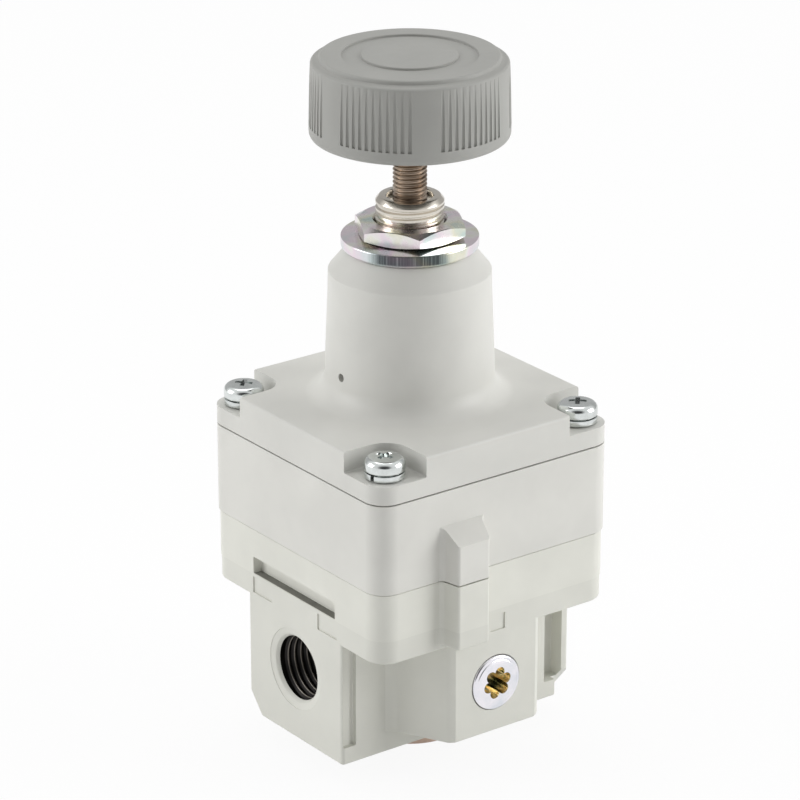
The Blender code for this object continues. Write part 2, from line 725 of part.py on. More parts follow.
def end_groove_cutters(side, name, setback, width):
    """Return the vertical grooves in both flanks of one port block, next to its end face."""
    outer = side * (HALF_BAND - setback)
    inner = side * (HALF_BAND - setback - width)
    floor = PORT_BLOCK_BOTTOM + GROOVE_FLOOR_RISE
    grooves = []
    for flank, flank_side in (("front", -1), ("back", 1)):
        deep = flank_side * (HALF_PORT_BLOCK - GROOVE_DEPTH)
        open_side = flank_side * (HALF_PORT_BLOCK + OVERRUN)
        groove = block(name + "_groove_" + flank, (min(outer, inner), min(deep, open_side), floor),
                       (max(outer, inner), max(deep, open_side), FLANGE_BOTTOM))
        round_edges(groove, GROOVE_DEPTH / 2)
        grooves.append(groove)
    return grooves


def end_chamfer_cutter(side, name):
    """Return the wedge that bevels one lower corner of a port block's end."""
    length = END_CHAMFER_LENGTH + OVERRUN
    outline = [(-OVERRUN, -OVERRUN), (END_CHAMFER_WIDTH, -OVERRUN), (END_CHAMFER_WIDTH, 0),
               (0, END_CHAMFER_HEIGHT), (-OVERRUN, END_CHAMFER_HEIGHT)]
    wedge = slab(name, outline, 0, length, CUTTERS_NAME)
    wedge.rotation_euler = (math.radians(90), 0, math.radians(90 * side))
    start = side * (HALF_BAND - END_CHAMFER_LENGTH + length / 2)
    wedge.location = (start, -side * HALF_PORT_BLOCK, PORT_BLOCK_BOTTOM)
    return wedge


def label_cutters():
    """Return the shallow bare label recesses above the ports and the front gauge port."""
    top = FLANGE_BOTTOM + BAND_HEIGHT - LABEL_DROP + LABEL_DEPTH
    low = top - LABEL_HEIGHT
    reach = HALF_BAND - LABEL_DEPTH
    past = HALF_BAND + OVERRUN
    labels = []
    for side, face in ((-1, "outlet"), (1, "inlet")):
        for place in (-1, 1):
            middle = place * LABEL_SPREAD / 2
            name = "label_" + face + ("_left" if place < 0 else "_right")
            near = (min(side * reach, side * past), middle - LABEL_WIDTH / 2, low)
            far = (max(side * reach, side * past), middle + LABEL_WIDTH / 2, top)
            labels.append(block(name, near, far))
    left = GAUGE_LABEL_OFFSET - GAUGE_LABEL_WIDTH / 2
    right = GAUGE_LABEL_OFFSET + GAUGE_LABEL_WIDTH / 2
    labels.append(block("label_gauge", (left, -past, low), (right, -reach, top)))
    return labels


def pilot_passage(name, bottom, top):
    """Return the upright hole in the front boss."""
    y = -HALF_BODY - PILOT_PASSAGE_INSET
    return cylinder(name, PILOT_PASSAGE_RADIUS, (-BOSS_OFFSET, y, bottom), (-BOSS_OFFSET, y, top), TINY_STEPS)


def build_lower_body():
    """Cast body with the ports, the valve chambers and the feedback chamber."""
    body = slab("lower_body", rounded_rectangle(HALF_LOWER, HALF_LOWER, BODY_CORNER_RADIUS),
                BAND_TOP, LOWER_TOP)
    band = slab("lower_band", rounded_rectangle(HALF_BAND, HALF_BAND, BODY_CORNER_RADIUS),
                FLANGE_BOTTOM, BAND_TOP + OVERRUN, CUTTERS_NAME)
    round_edges(band, EDGE_ROUNDING)
    ports = block("port_block", (-HALF_BAND, -HALF_PORT_BLOCK, PORT_BLOCK_BOTTOM),
                  (HALF_BAND, HALF_PORT_BLOCK, BAND_TOP - OVERRUN), rounding=EDGE_ROUNDING)
    gauges = slab("gauge_blocks", gauge_block_outline(), PORT_BLOCK_BOTTOM + GAUGE_BLOCK_RISE,
                  BAND_TOP - OVERRUN, CUTTERS_NAME)
    round_edges(gauges, EDGE_ROUNDING)
    boss = slab("lower_boss", boss_outline(), FLANGE_BOTTOM, LOWER_TOP, CUTTERS_NAME)
    fuse(body, band, ports, gauges, boss)
    cut(body, turned("valve_bore", valve_bore_profile(), steps=MEDIUM_STEPS, home=CUTTERS_NAME))
    ends = ((-1, "outlet", OUTLET_GROOVE_SETBACK, OUTLET_GROOVE_WIDTH),
            (1, "inlet", INLET_GROOVE_SETBACK, INLET_GROOVE_WIDTH))
    for side, name, groove_setback, groove_width in ends:
        cut(body, *port_cutters(side, name))
        cut(body, *slot_cutters(side, name))
        cut(body, *end_groove_cutters(side, name, groove_setback, groove_width))
        cut(body, end_chamfer_cutter(side, name + "_end_chamfer"))
    for side, name in ((-1, "front_gauge"), (1, "back_gauge")):
        cut(body, *gauge_cutters(side, name))
    cut(body, *passage_cutters())
    cut(body, *label_cutters())
    cut(body, cylinder("feedback_hole", FEEDBACK_HOLE_RADIUS,
                       (0, FEEDBACK_HOLE_OFFSET, UPPER_CHAMBER_TOP - OVERRUN),
                       (0, FEEDBACK_HOLE_OFFSET, FEEDBACK_FLOOR + OVERRUN), TINY_STEPS))
    cut(body, pilot_passage("lower_pilot_passage", FLANGE_BOTTOM + PILOT_PASSAGE_FLOOR, LOWER_TOP + OVERRUN))
    bottom = LOWER_TOP - SCREW_ENGAGEMENT - OVERRUN
    cut(body, *screw_holes("lower", bottom, LOWER_TOP + OVERRUN))
    return look(body, "casting_lower")


def boss_top_cutter():
    """Return the block that slopes the top of the boss."""
    top = MID_BOTTOM + BOSS_HEIGHT_IN_MID
    front = -HALF_BODY - BOSS_REACH
    half = BOSS_ROOT_WIDTH
    slope = BOSS_TOP_FALL / BOSS_REACH
    outline = [(front - OVERRUN, top - BOSS_TOP_FALL - slope * OVERRUN),
               (-HALF_BODY + OVERRUN, top + slope * OVERRUN),
               (-HALF_BODY + OVERRUN, top + BOSS_REACH), (front - OVERRUN, top + BOSS_REACH)]
    wedge = slab("boss_top", outline, -half, half, CUTTERS_NAME)
    wedge.rotation_euler = (math.radians(90), 0, math.radians(90))
    wedge.location = (-BOSS_OFFSET, 0, 0)
    return wedge


def build_mid_body():
    """Cast middle body with the diaphragm bore, the pilot chamber and the nozzle partition."""
    body = slab("mid_body", rounded_rectangle(HALF_BODY, HALF_BODY, BODY_CORNER_RADIUS), MID_BOTTOM, MID_TOP)
    boss = slab("mid_boss", boss_outline(), MID_BOTTOM, MID_BOTTOM + BOSS_HEIGHT_IN_MID, CUTTERS_NAME)
    cut(boss, boss_top_cutter())
    settle(boss)
    fuse(body, boss)
    lower_bore = [(0, PILOT_CHAMBER_TOP), (PILOT_CHAMBER_RADIUS, PILOT_CHAMBER_TOP),
                  (PILOT_CHAMBER_RADIUS, PILOT_CHAMBER_BOTTOM), (STACK_BORE_RADIUS, PILOT_CHAMBER_BOTTOM),
                  (STACK_BORE_RADIUS, MID_BOTTOM - OVERRUN), (0, MID_BOTTOM - OVERRUN)]
    top_bore = [(0, MID_TOP + OVERRUN), (TOP_CAVITY_RADIUS, MID_TOP + OVERRUN),
                (TOP_CAVITY_RADIUS, PARTITION_TOP), (0, PARTITION_TOP)]
    cut(body, turned("stack_bore", lower_bore, home=CUTTERS_NAME))
    cut(body, turned("top_cavity", top_bore, home=CUTTERS_NAME))
    below = PILOT_CHAMBER_TOP - OVERRUN
    above = PARTITION_TOP + OVERRUN
    cut(body, cylinder("nozzle_hole", NOZZLE_SHANK_RADIUS + CLEARANCE, (0, 0, below), (0, 0, above)))
    orifice_hole = cylinder("orifice_hole", NOZZLE_SHANK_RADIUS + CLEARANCE, (0, -ORIFICE_OFFSET, below),
                            (0, -ORIFICE_OFFSET, above))
    orifice_hole.rotation_quaternion = Quaternion((0, 0, 1), math.radians(ORIFICE_TURN_DEG))
    cut(body, orifice_hole)
    cross = PILOT_CHAMBER_BOTTOM + PILOT_CROSS_RISE
    y = -HALF_BODY - PILOT_PASSAGE_INSET
    cut(body, pilot_passage("mid_pilot_passage", MID_BOTTOM - OVERRUN, cross + PILOT_PASSAGE_RADIUS / 2))
    cut(body, cylinder("pilot_cross_hole", PILOT_PASSAGE_RADIUS, (-BOSS_OFFSET, y, cross),
                       (-BOSS_OFFSET, -PILOT_CHAMBER_RADIUS / 2, cross), TINY_STEPS))
    cut(body, *screw_holes("mid", MID_BOTTOM - OVERRUN, MID_TOP + OVERRUN))
    return look(body, "casting_mid")


def bonnet_neck_profile():
    """Return the outside of the neck: shoulder, slight taper and the fillet onto the plate."""
    fillet = NECK_FILLET_RADIUS
    foot = NECK_ROOT_RADIUS + fillet
    rounding = SHOULDER_ROUNDING
    profile = [(0, BONNET_TOP), (SHOULDER_TOP_RADIUS - rounding, BONNET_TOP)]
    profile += arc((SHOULDER_TOP_RADIUS - rounding, BONNET_TOP - rounding), rounding, 90, 25, 2)
    profile += [(NECK_TOP_RADIUS, SHOULDER_BOTTOM)]
    profile += arc((foot, PLATE_TOP + fillet), fillet, 180, 270)
    profile += [(foot, PLATE_TOP - fillet), (0, PLATE_TOP - fillet)]
    return profile


def bonnet_cavity_profile():
    """Return the inside of the bonnet: flapper chamber, cone, spring bore and bushing hole."""
    step = BONNET_BOTTOM + BONNET_CAVITY_HEIGHT
    hole = BUSHING_RADIUS + CLEARANCE
    return [(0, BONNET_TOP + OVERRUN), (hole, BONNET_TOP + OVERRUN), (hole, BONNET_CEILING),
            (SPRING_BORE_RADIUS, BONNET_CEILING), (SPRING_BORE_RADIUS, step + SPRING_BORE_CONE_HEIGHT),
            (BONNET_CAVITY_RADIUS, step), (BONNET_CAVITY_RADIUS, BONNET_BOTTOM - OVERRUN),
            (0, BONNET_BOTTOM - OVERRUN)]


def notch_cutter(corner, side_x, side_y):
    """Return the cutter of one screw notch, with its inner corner rounded round the screw."""
    near = HALF_BODY - NOTCH_WIDTH
    far = HALF_BODY + OVERRUN
    outline = arc((near + NOTCH_RADIUS, near + NOTCH_RADIUS), NOTCH_RADIUS, 180, 270)
    outline += [(far, near), (far, far), (near, far)]
    notch = slab("notch_" + corner, outline, NOTCH_FLOOR, PLATE_TOP + OVERRUN, CUTTERS_NAME)
    notch.rotation_euler = (0, 0, math.atan2(side_y, side_x) - math.radians(45))
    return notch


def build_bonnet():
    """Cast bonnet: a square plate with corner notches and a tapered hollow neck."""
    plate_outline = rounded_rectangle(HALF_BODY, HALF_BODY, BODY_CORNER_RADIUS)
    bonnet = slab("bonnet", plate_outline, BONNET_BOTTOM, PLATE_TOP)
    neck = turned("bonnet_neck", bonnet_neck_profile(), steps=LARGE_STEPS, home=CUTTERS_NAME)
    fuse(bonnet, neck)
    for corner, side_x, side_y in four_corners():
        cut(bonnet, notch_cutter(corner, side_x, side_y))
    cut(bonnet, turned("bonnet_cavity", bonnet_cavity_profile(), home=CUTTERS_NAME))
    vent = PLATE_TOP + VENT_HEIGHT
    cut(bonnet, cylinder("vent", VENT_RADIUS, (-HALF_BODY, 0, vent), (-SPRING_BORE_RADIUS / 2, 0, vent),
                         TINY_STEPS))
    cut(bonnet, *screw_holes("bonnet", BONNET_BOTTOM - OVERRUN, NOTCH_FLOOR + OVERRUN))
    return look(bonnet, "casting_bonnet")


def build_valve_guide():
    """Turned guide that closes the body and carries the valve spring."""
    shank = CHAMBER_RADIUS - CLEARANCE
    groove_bottom = GUIDE_FLANGE_HEIGHT + O_RING_RISE - O_RING_RADIUS - GROOVE_SQUEEZE
    groove_top = groove_bottom + 2 * (O_RING_RADIUS + GROOVE_SQUEEZE)
    groove_radius = CHAMBER_RADIUS - 2 * O_RING_RADIUS - 2 * GROOVE_SQUEEZE
    top = GUIDE_FLANGE_HEIGHT + GUIDE_SHANK_LENGTH
    pocket = GUIDE_FLANGE_HEIGHT + GUIDE_FLOOR
    profile = [(0, pocket), (GUIDE_BORE_RADIUS, pocket), (GUIDE_BORE_RADIUS, top - CLEARANCE),
               (GUIDE_POST_RADIUS, top - CLEARANCE), (GUIDE_POST_RADIUS, pocket),
               (groove_radius - GUIDE_WALL / 2, pocket), (groove_radius - GUIDE_WALL / 2, top),
               (shank, top), (shank, groove_top), (groove_radius, groove_top),
               (groove_radius, groove_bottom), (shank, groove_bottom), (shank, GUIDE_FLANGE_HEIGHT),
               (GUIDE_FLANGE_RADIUS, GUIDE_FLANGE_HEIGHT), (GUIDE_FLANGE_RADIUS, GUIDE_CHAMFER),
               (GUIDE_FLANGE_RADIUS - GUIDE_CHAMFER, 0), (0, 0)]
    guide = turned("valve_guide", profile)
    for side, name in ((-1, "left"), (1, "right")):
        x = side * GUIDE_SPANNER_OFFSET
        cut(guide, cylinder("spanner_hole_" + name, GUIDE_SPANNER_RADIUS, (x, 0, -OVERRUN),
                            (x, 0, GUIDE_SPANNER_DEPTH), TINY_STEPS))
    return look(guide, "tan_plastic")


def torus_profile(centre_radius, wire, points=6):
    """Return the round section of an O-ring, running down its outer side."""
    return [(centre_radius + wire * math.cos(2 * math.pi * index / points),
             -wire * math.sin(2 * math.pi * index / points)) for index in range(points)]


def build_guide_seal():
    """O-ring in the groove of the valve guide."""
    middle = CHAMBER_RADIUS - O_RING_RADIUS - GROOVE_SQUEEZE
    height = GUIDE_FLANGE_HEIGHT + O_RING_RISE
    return look(turned("guide_o_ring", torus_profile(middle, O_RING_RADIUS), height, closed=True), "black_rubber")


def poppet_levels():
    """Return the heights of the poppet: underside of the head, top of the head, tip of the stem."""
    seal_top = PORT_AXIS - SEAT_LIP_HEIGHT - CLEARANCE
    head_top = seal_top - SEAL_HEIGHT - CLEARANCE
    tip = UPPER_CHAMBER_FLOOR + POPPET_STEM_REACH
    return head_top - POPPET_HEAD_HEIGHT, head_top, tip


def build_poppet():
    """Main valve: a disc on a stem, with a tail that slides in the guide."""
    under, head_top, tip = poppet_levels()
    tail = GUIDE_BORE_RADIUS - RUNNING_CLEARANCE
    tail_end = GUIDE_FLANGE_HEIGHT + GUIDE_FLOOR + VALVE_STROKE + CLEARANCE
    stem = POPPET_STEM_RADIUS
    profile = [(0, tip), (stem * math.cos(math.radians(45)), tip - stem / 4), (stem, tip - stem),
               (stem, head_top), (POPPET_HEAD_RADIUS, head_top), (POPPET_HEAD_RADIUS, under),
               (tail, under), (tail, tail_end), (0, tail_end)]
    return look(turned("valve_poppet", profile, steps=SMALL_STEPS), "brass")


def build_poppet_seal():
    """Rubber face of the main valve."""
    head_top = poppet_levels()[1]
    seal = ring("valve_face_seal", POPPET_STEM_RADIUS + CLEARANCE, SEAL_RADIUS, SEAL_HEIGHT,
                head_top + CLEARANCE, SMALL_STEPS)
    return look(seal, "black_rubber")


def build_valve_spring():
    """Return spring of the main valve, in the pocket of the guide."""
    under = poppet_levels()[0]
    bottom = GUIDE_FLANGE_HEIGHT + GUIDE_FLOOR + CLEARANCE
    spring = coil("valve_spring", VALVE_SPRING_RADIUS, VALVE_SPRING_WIRE, bottom,
                  under - CLEARANCE - bottom, VALVE_SPRING_TURNS)
    return look(spring, "spring_steel")


def stack_levels():
    """Return the heights of the moving stack: foot, lower plate, upper plate, nut and shaft top."""
    lower_plate = LOWER_DIAPHRAGM_BOTTOM - CLEARANCE - LOWER_PLATE_THICKNESS
    foot = lower_plate - CLEARANCE - SPINDLE_FOOT_HEIGHT
    upper_plate = UPPER_DIAPHRAGM_BOTTOM + DIAPHRAGM_THICKNESS + CLEARANCE
    nut = upper_plate + UPPER_PLATE_THICKNESS + CLEARANCE
    return foot, lower_plate, upper_plate, nut, nut + STACK_NUT_HEIGHT + CLEARANCE


def build_spindle():
    """Relief spindle: a hollow shaft whose foot carries the diaphragm stack."""
    foot, lower_plate, upper_plate, nut, top = stack_levels()
    bottom = poppet_levels()[2] + CLEARANCE
    side = SPACER_BOTTOM + SPACER_HEIGHT / 2
    blind = side + EXHAUST_SIDE_RADIUS
    shaft = SPINDLE_SHAFT_RADIUS
    profile = [(0, top), (shaft, top), (shaft, foot + SPINDLE_FOOT_HEIGHT),
               (SPINDLE_FOOT_RADIUS, foot + SPINDLE_FOOT_HEIGHT), (SPINDLE_FOOT_RADIUS, foot), (shaft, foot),
               (shaft, bottom), (EXHAUST_RADIUS, bottom), (EXHAUST_RADIUS, blind), (0, blind)]
    spindle = turned("relief_spindle", profile, steps=SMALL_STEPS)
    cut(spindle, cylinder("exhaust_side_hole", EXHAUST_SIDE_RADIUS, (-HUB_RADIUS, 0, side),
                          (HUB_RADIUS, 0, side), TINY_STEPS))
    return look(spindle, "machined_aluminium")


def diaphragm_profile(inner, outer, roll_inner, roll_outer, thickness, roll):
    """Return the section of a diaphragm with one rolled convolution, as a closed loop."""
    middle = (roll_inner + roll_outer) / 2
    wave = [(roll_outer, 0), (middle, roll), (roll_inner, 0)]
    under = [(outer, 0)] + wave + [(inner, 0)]
    upper = [(radius, z + thickness) for radius, z in under]
    return [upper[0]] + under + list(reversed(upper[1:]))


def build_diaphragms():
    """Both moulded diaphragms of the main stack, clamped at the rim and at the plates."""
    inner = SPINDLE_SHAFT_RADIUS + CLEARANCE
    outer = SPACER_OUTER_RADIUS
    plate = PLATE_RADIUS + CLEARANCE
    rim = SPACER_INNER_RADIUS - CLEARANCE
    lower = turned("lower_diaphragm", diaphragm_profile(inner, outer, plate, rim, DIAPHRAGM_THICKNESS,
                                                        -ROLL_HEIGHT), LOWER_DIAPHRAGM_BOTTOM, closed=True)
    upper = turned("upper_diaphragm", diaphragm_profile(inner, outer, plate, rim, DIAPHRAGM_THICKNESS,
                                                        ROLL_HEIGHT), UPPER_DIAPHRAGM_BOTTOM, closed=True)
    look(lower, "black_rubber")
    look(upper, "black_rubber")


def build_stack_plates():
    """Plates, hub and nut that clamp the diaphragms to the spindle."""
    foot, lower_plate, upper_plate, nut, top = stack_levels()
    inner = SPINDLE_SHAFT_RADIUS + CLEARANCE
    look(ring("lower_diaphragm_plate", inner, PLATE_RADIUS, LOWER_PLATE_THICKNESS, lower_plate,
              MEDIUM_STEPS), "pressed_steel")
    look(ring("upper_diaphragm_plate", inner, PLATE_RADIUS, UPPER_PLATE_THICKNESS, upper_plate,
              MEDIUM_STEPS), "pressed_steel")
    hub = ring("diaphragm_hub", inner, HUB_RADIUS, SPACER_HEIGHT, SPACER_BOTTOM, SMALL_STEPS)
    side = SPACER_BOTTOM + SPACER_HEIGHT / 2
    cut(hub, cylinder("hub_side_hole", EXHAUST_SIDE_RADIUS, (-HUB_RADIUS - OVERRUN, 0, side),
                      (HUB_RADIUS + OVERRUN, 0, side), TINY_STEPS))
    look(hub, "machined_aluminium")
    stack_nut = slab("diaphragm_nut", arc((0, 0), STACK_NUT_RADIUS, 0, 300, 5), nut, nut + STACK_NUT_HEIGHT)
    cut(stack_nut, cylinder("diaphragm_nut_hole", inner, (0, 0, nut - OVERRUN), (0, 0, top + OVERRUN)))
    look(stack_nut, "bright_zinc")


def build_spacer():
    """Ring between the two diaphragms, with holes that let the exhaust out."""
    spacer = ring("diaphragm_spacer", SPACER_INNER_RADIUS, SPACER_OUTER_RADIUS, SPACER_HEIGHT, SPACER_BOTTOM)
    middle = SPACER_BOTTOM + SPACER_HEIGHT / 2
    for index in range(SPACER_HOLES):
        angle = math.radians(SPACER_HOLE_TURN_DEG) + 2 * math.pi * index / SPACER_HOLES
        ray = Vector((math.cos(angle), math.sin(angle), 0))
        start = ray * (SPACER_INNER_RADIUS - OVERRUN)
        end = ray * (SPACER_OUTER_RADIUS + OVERRUN)
        start.z = middle
        end.z = middle
        cut(spacer, cylinder("spacer_hole_" + str(index), SPACER_HOLE_RADIUS, start, end, TINY_STEPS))
    return look(spacer, "machined_aluminium")


def build_nozzle():
    """Brass pilot nozzle in the middle of the partition."""
    head = PARTITION_TOP + CLEARANCE
    top = head + NOZZLE_HEAD_HEIGHT
    tip = top + NOZZLE_TIP_HEIGHT
    bottom = PILOT_CHAMBER_TOP + CLEARANCE
    profile = [(NOZZLE_TIP_RADIUS, tip), (NOZZLE_SHANK_RADIUS, top), (NOZZLE_HEAD_RADIUS, top),
               (NOZZLE_HEAD_RADIUS, head), (NOZZLE_SHANK_RADIUS, head), (NOZZLE_SHANK_RADIUS, bottom),
               (NOZZLE_HOLE_RADIUS, bottom), (NOZZLE_HOLE_RADIUS, tip)]
    return look(turned("pilot_nozzle", profile, steps=SMALL_STEPS, closed=True), "brass")


def build_orifice():
    """Brass fixed orifice that feeds the pilot chamber."""
    head = PARTITION_TOP + CLEARANCE
    top = head + ORIFICE_HEAD_HEIGHT
    bottom = PILOT_CHAMBER_TOP + CLEARANCE
    profile = [(ORIFICE_HEAD_RADIUS, top), (ORIFICE_HEAD_RADIUS, head), (NOZZLE_SHANK_RADIUS, head),
               (NOZZLE_SHANK_RADIUS, bottom), (ORIFICE_HOLE_RADIUS, bottom), (ORIFICE_HOLE_RADIUS, top)]
    orifice = turned("fixed_orifice", profile, steps=TINY_STEPS, closed=True)
    orifice.location = (0, -ORIFICE_OFFSET, 0)
    return look(orifice, "brass")


def flapper_levels():
    """Return the undersides of the flapper plate, the flapper sheet and the lower spring seat."""
    sheet = MID_TOP + SHEET_CLEARANCE
    plate = sheet - SHEET_CLEARANCE - FLAPPER_THICKNESS
    seat = BONNET_BOTTOM + SHEET_CLEARANCE
    return plate, sheet, seat


def build_flapper():
    """Flapper plate with the pad that closes the nozzle."""
    plate, sheet, seat = flapper_levels()
    nozzle_tip = PARTITION_TOP + CLEARANCE + NOZZLE_HEAD_HEIGHT + NOZZLE_TIP_HEIGHT
    pad = nozzle_tip + FLAPPER_STROKE + SHEET_CLEARANCE
    socket = LOWER_SEAT_PIN_RADIUS + CLEARANCE
    socket_floor = plate + FLAPPER_THICKNESS - LOWER_SEAT_PIN_REACH / 2 - SHEET_CLEARANCE
    top = plate + FLAPPER_THICKNESS
    profile = [(0, socket_floor), (socket, socket_floor), (socket, top), (FLAPPER_RADIUS, top),
               (FLAPPER_RADIUS, plate), (FLAPPER_PAD_RADIUS, plate), (FLAPPER_PAD_RADIUS, pad), (0, pad)]
    return look(turned("flapper_plate", profile), "pressed_steel")


def build_flapper_sheet():
    """Thin square diaphragm whose edge shows as the dark line under the bonnet."""
    sheet = flapper_levels()[1]
    thickness = BONNET_GAP - 2 * SHEET_CLEARANCE
    half = HALF_BODY - FLAPPER_SHEET_INSET
    piece = slab("flapper_diaphragm", rounded_rectangle(half, half, BODY_CORNER_RADIUS), sheet,
                 sheet + thickness)
    cut(piece, *screw_holes("flapper_diaphragm", sheet - OVERRUN, sheet + thickness + OVERRUN))
    cut(piece, cylinder("flapper_diaphragm_hole", LOWER_SEAT_PIN_RADIUS + CLEARANCE,
                        (0, 0, sheet - OVERRUN), (0, 0, sheet + thickness + OVERRUN)))
    return look(piece, "black_rubber")


def build_lower_spring_seat():
    """Disc that takes the set spring's load onto the flapper."""
    plate, sheet, seat = flapper_levels()
    top = seat + LOWER_SEAT_HEIGHT
    pin = plate + FLAPPER_THICKNESS - LOWER_SEAT_PIN_REACH / 2
    profile = [(0, top + SEAT_BOSS_HEIGHT), (SEAT_BOSS_RADIUS, top + SEAT_BOSS_HEIGHT), (SEAT_BOSS_RADIUS, top),
               (LOWER_SEAT_RADIUS, top), (LOWER_SEAT_RADIUS, seat), (LOWER_SEAT_PIN_RADIUS, seat),
               (LOWER_SEAT_PIN_RADIUS, pin), (0, pin)]
    return look(turned("lower_spring_seat", profile), "machined_aluminium")


def spring_levels():
    """Return the bottom of the set spring, the upper seat's underside and the ball's centre."""
    bottom = flapper_levels()[2] + LOWER_SEAT_HEIGHT + CLEARANCE
    hub_top = BONNET_CEILING - CLEARANCE - BUSHING_FLANGE_HEIGHT - UPPER_SEAT_HEADROOM
    seat = hub_top - UPPER_SEAT_HUB_HEIGHT - UPPER_SEAT_HEIGHT
    ball = seat + UPPER_SEAT_HEIGHT + UPPER_SEAT_HUB_HEIGHT + BALL_RADIUS - BALL_DEPTH + CLEARANCE
    return bottom, seat, ball


def build_set_spring():
    """Main set spring."""
    bottom, seat = spring_levels()[:2]
    length = seat - CLEARANCE - bottom
    spring = coil("set_spring", SET_SPRING_RADIUS, SET_SPRING_WIRE, bottom, length, SET_SPRING_TURNS)
    return look(spring, "spring_steel")


def build_upper_spring_seat():
    """Seat that the adjusting screw pushes down through a ball."""
    seat = spring_levels()[1]
    hub_top = seat + UPPER_SEAT_HEIGHT + UPPER_SEAT_HUB_HEIGHT
    cup_floor = hub_top - BALL_DEPTH
    cup_radius = math.sqrt(BALL_RADIUS ** 2 - (BALL_RADIUS - BALL_DEPTH) ** 2) + CLEARANCE
    rim = UPPER_SEAT_HUB_RADIUS
    profile = [(0, cup_floor), (cup_radius * 2 / 3, cup_floor + BALL_DEPTH / 3), (cup_radius + CLEARANCE, hub_top),
               (rim, hub_top), (rim, seat + UPPER_SEAT_HEIGHT), (UPPER_SEAT_RADIUS, seat + UPPER_SEAT_HEIGHT),
               (UPPER_SEAT_RADIUS, seat), (SEAT_BOSS_RADIUS, seat), (SEAT_BOSS_RADIUS, seat - SEAT_BOSS_HEIGHT),
               (0, seat - SEAT_BOSS_HEIGHT)]
    return look(turned("upper_spring_seat", profile), "machined_aluminium")


def build_ball():
    """Thrust ball between the screw and the upper spring seat."""
    centre = spring_levels()[2]
    points = 7
    profile = [(BALL_RADIUS * math.sin(math.pi * index / points), BALL_RADIUS * math.cos(math.pi * index / points))
               for index in range(points + 1)]
    profile[0] = (0, BALL_RADIUS)
    profile[-1] = (0, -BALL_RADIUS)
    return look(turned("thrust_ball", profile, centre, TINY_STEPS), "bright_zinc")


def knob_levels():
    """Return the underside of the knob and the floor of the bore in its hub."""
    bottom = BONNET_TOP + BUSHING_REACH + KNOB_LIFT
    return bottom, bottom + KNOB_HUB_SETBACK + INSERT_LENGTH + CLEARANCE


def build_stem():
    """Adjusting screw, from the thrust ball up into the knob."""
    bottom = spring_levels()[2] + BALL_RADIUS + CLEARANCE
    top = knob_levels()[1] - CLEARANCE
    chamfer = STEM_TIP_CHAMFER
    profile = [(0, top), (STEM_RADIUS - chamfer, top), (STEM_RADIUS, top - chamfer), (STEM_RADIUS, bottom + chamfer),
               (STEM_RADIUS - chamfer, bottom), (0, bottom)]
    return look(turned("adjusting_stem", profile, steps=SMALL_STEPS), "bronze")


def build_bushing():
    """Threaded bushing that holds the adjusting screw and takes the panel nut."""
    flange_top = BONNET_CEILING - CLEARANCE
    flange_bottom = flange_top - BUSHING_FLANGE_HEIGHT
    top = BONNET_TOP + BUSHING_REACH
    bore = STEM_RADIUS + CLEARANCE
    chamfer = BUSHING_CHAMFER
    profile = [(BUSHING_RADIUS - chamfer, top), (BUSHING_RADIUS, top - chamfer), (BUSHING_RADIUS, flange_top),
               (BUSHING_FLANGE_RADIUS, flange_top), (BUSHING_FLANGE_RADIUS, flange_bottom), (bore, flange_bottom),
               (bore, top - BUSHING_MOUTH_DEPTH), (BUSHING_MOUTH_RADIUS, top - BUSHING_MOUTH_DEPTH / 2),
               (BUSHING_MOUTH_RADIUS, top)]
    return look(turned("screw_bushing", profile, closed=True), "nickel_plate")


def build_panel_washer():
    """Flat washer under the panel nut."""
    height = BONNET_TOP + CLEARANCE
    washer = ring("panel_washer", BUSHING_RADIUS + CLEARANCE, PANEL_WASHER_RADIUS, PANEL_WASHER_THICKNESS,
                  height, LARGE_STEPS)
    return look(washer, "chromate_zinc")


def build_panel_nut():
    """Thin hexagon nut with turned chamfers on both sides."""
    bottom = BONNET_TOP + 2 * CLEARANCE + PANEL_WASHER_THICKNESS
    top = bottom + PANEL_NUT_HEIGHT
    corners = arc((0, 0), PANEL_NUT_RADIUS, PANEL_NUT_TURN_DEG, PANEL_NUT_TURN_DEG + 300, 5)
    nut = slab("panel_nut", corners, bottom, top)
    small = PANEL_NUT_RADIUS - 2 * PANEL_NUT_CHAMFER
    rise = PANEL_NUT_CHAMFER_HEIGHT
    envelope = [(0, top), (small, top), (PANEL_NUT_RADIUS + PANEL_NUT_CHAMFER, top - 2 * rise),
                (PANEL_NUT_RADIUS + PANEL_NUT_CHAMFER, bottom + rise), (PANEL_NUT_RADIUS - PANEL_NUT_CHAMFER / 2, bottom),
                (0, bottom)]
    cut(nut, cylinder("panel_nut_hole", BUSHING_RADIUS + CLEARANCE, (0, 0, bottom - OVERRUN),
                      (0, 0, top + OVERRUN), MEDIUM_STEPS))
    combine(nut, turned("nut_envelope", envelope, steps=NUT_ENVELOPE_STEPS, home=CUTTERS_NAME), "INTERSECT")
    return look(nut, "chromate_zinc")


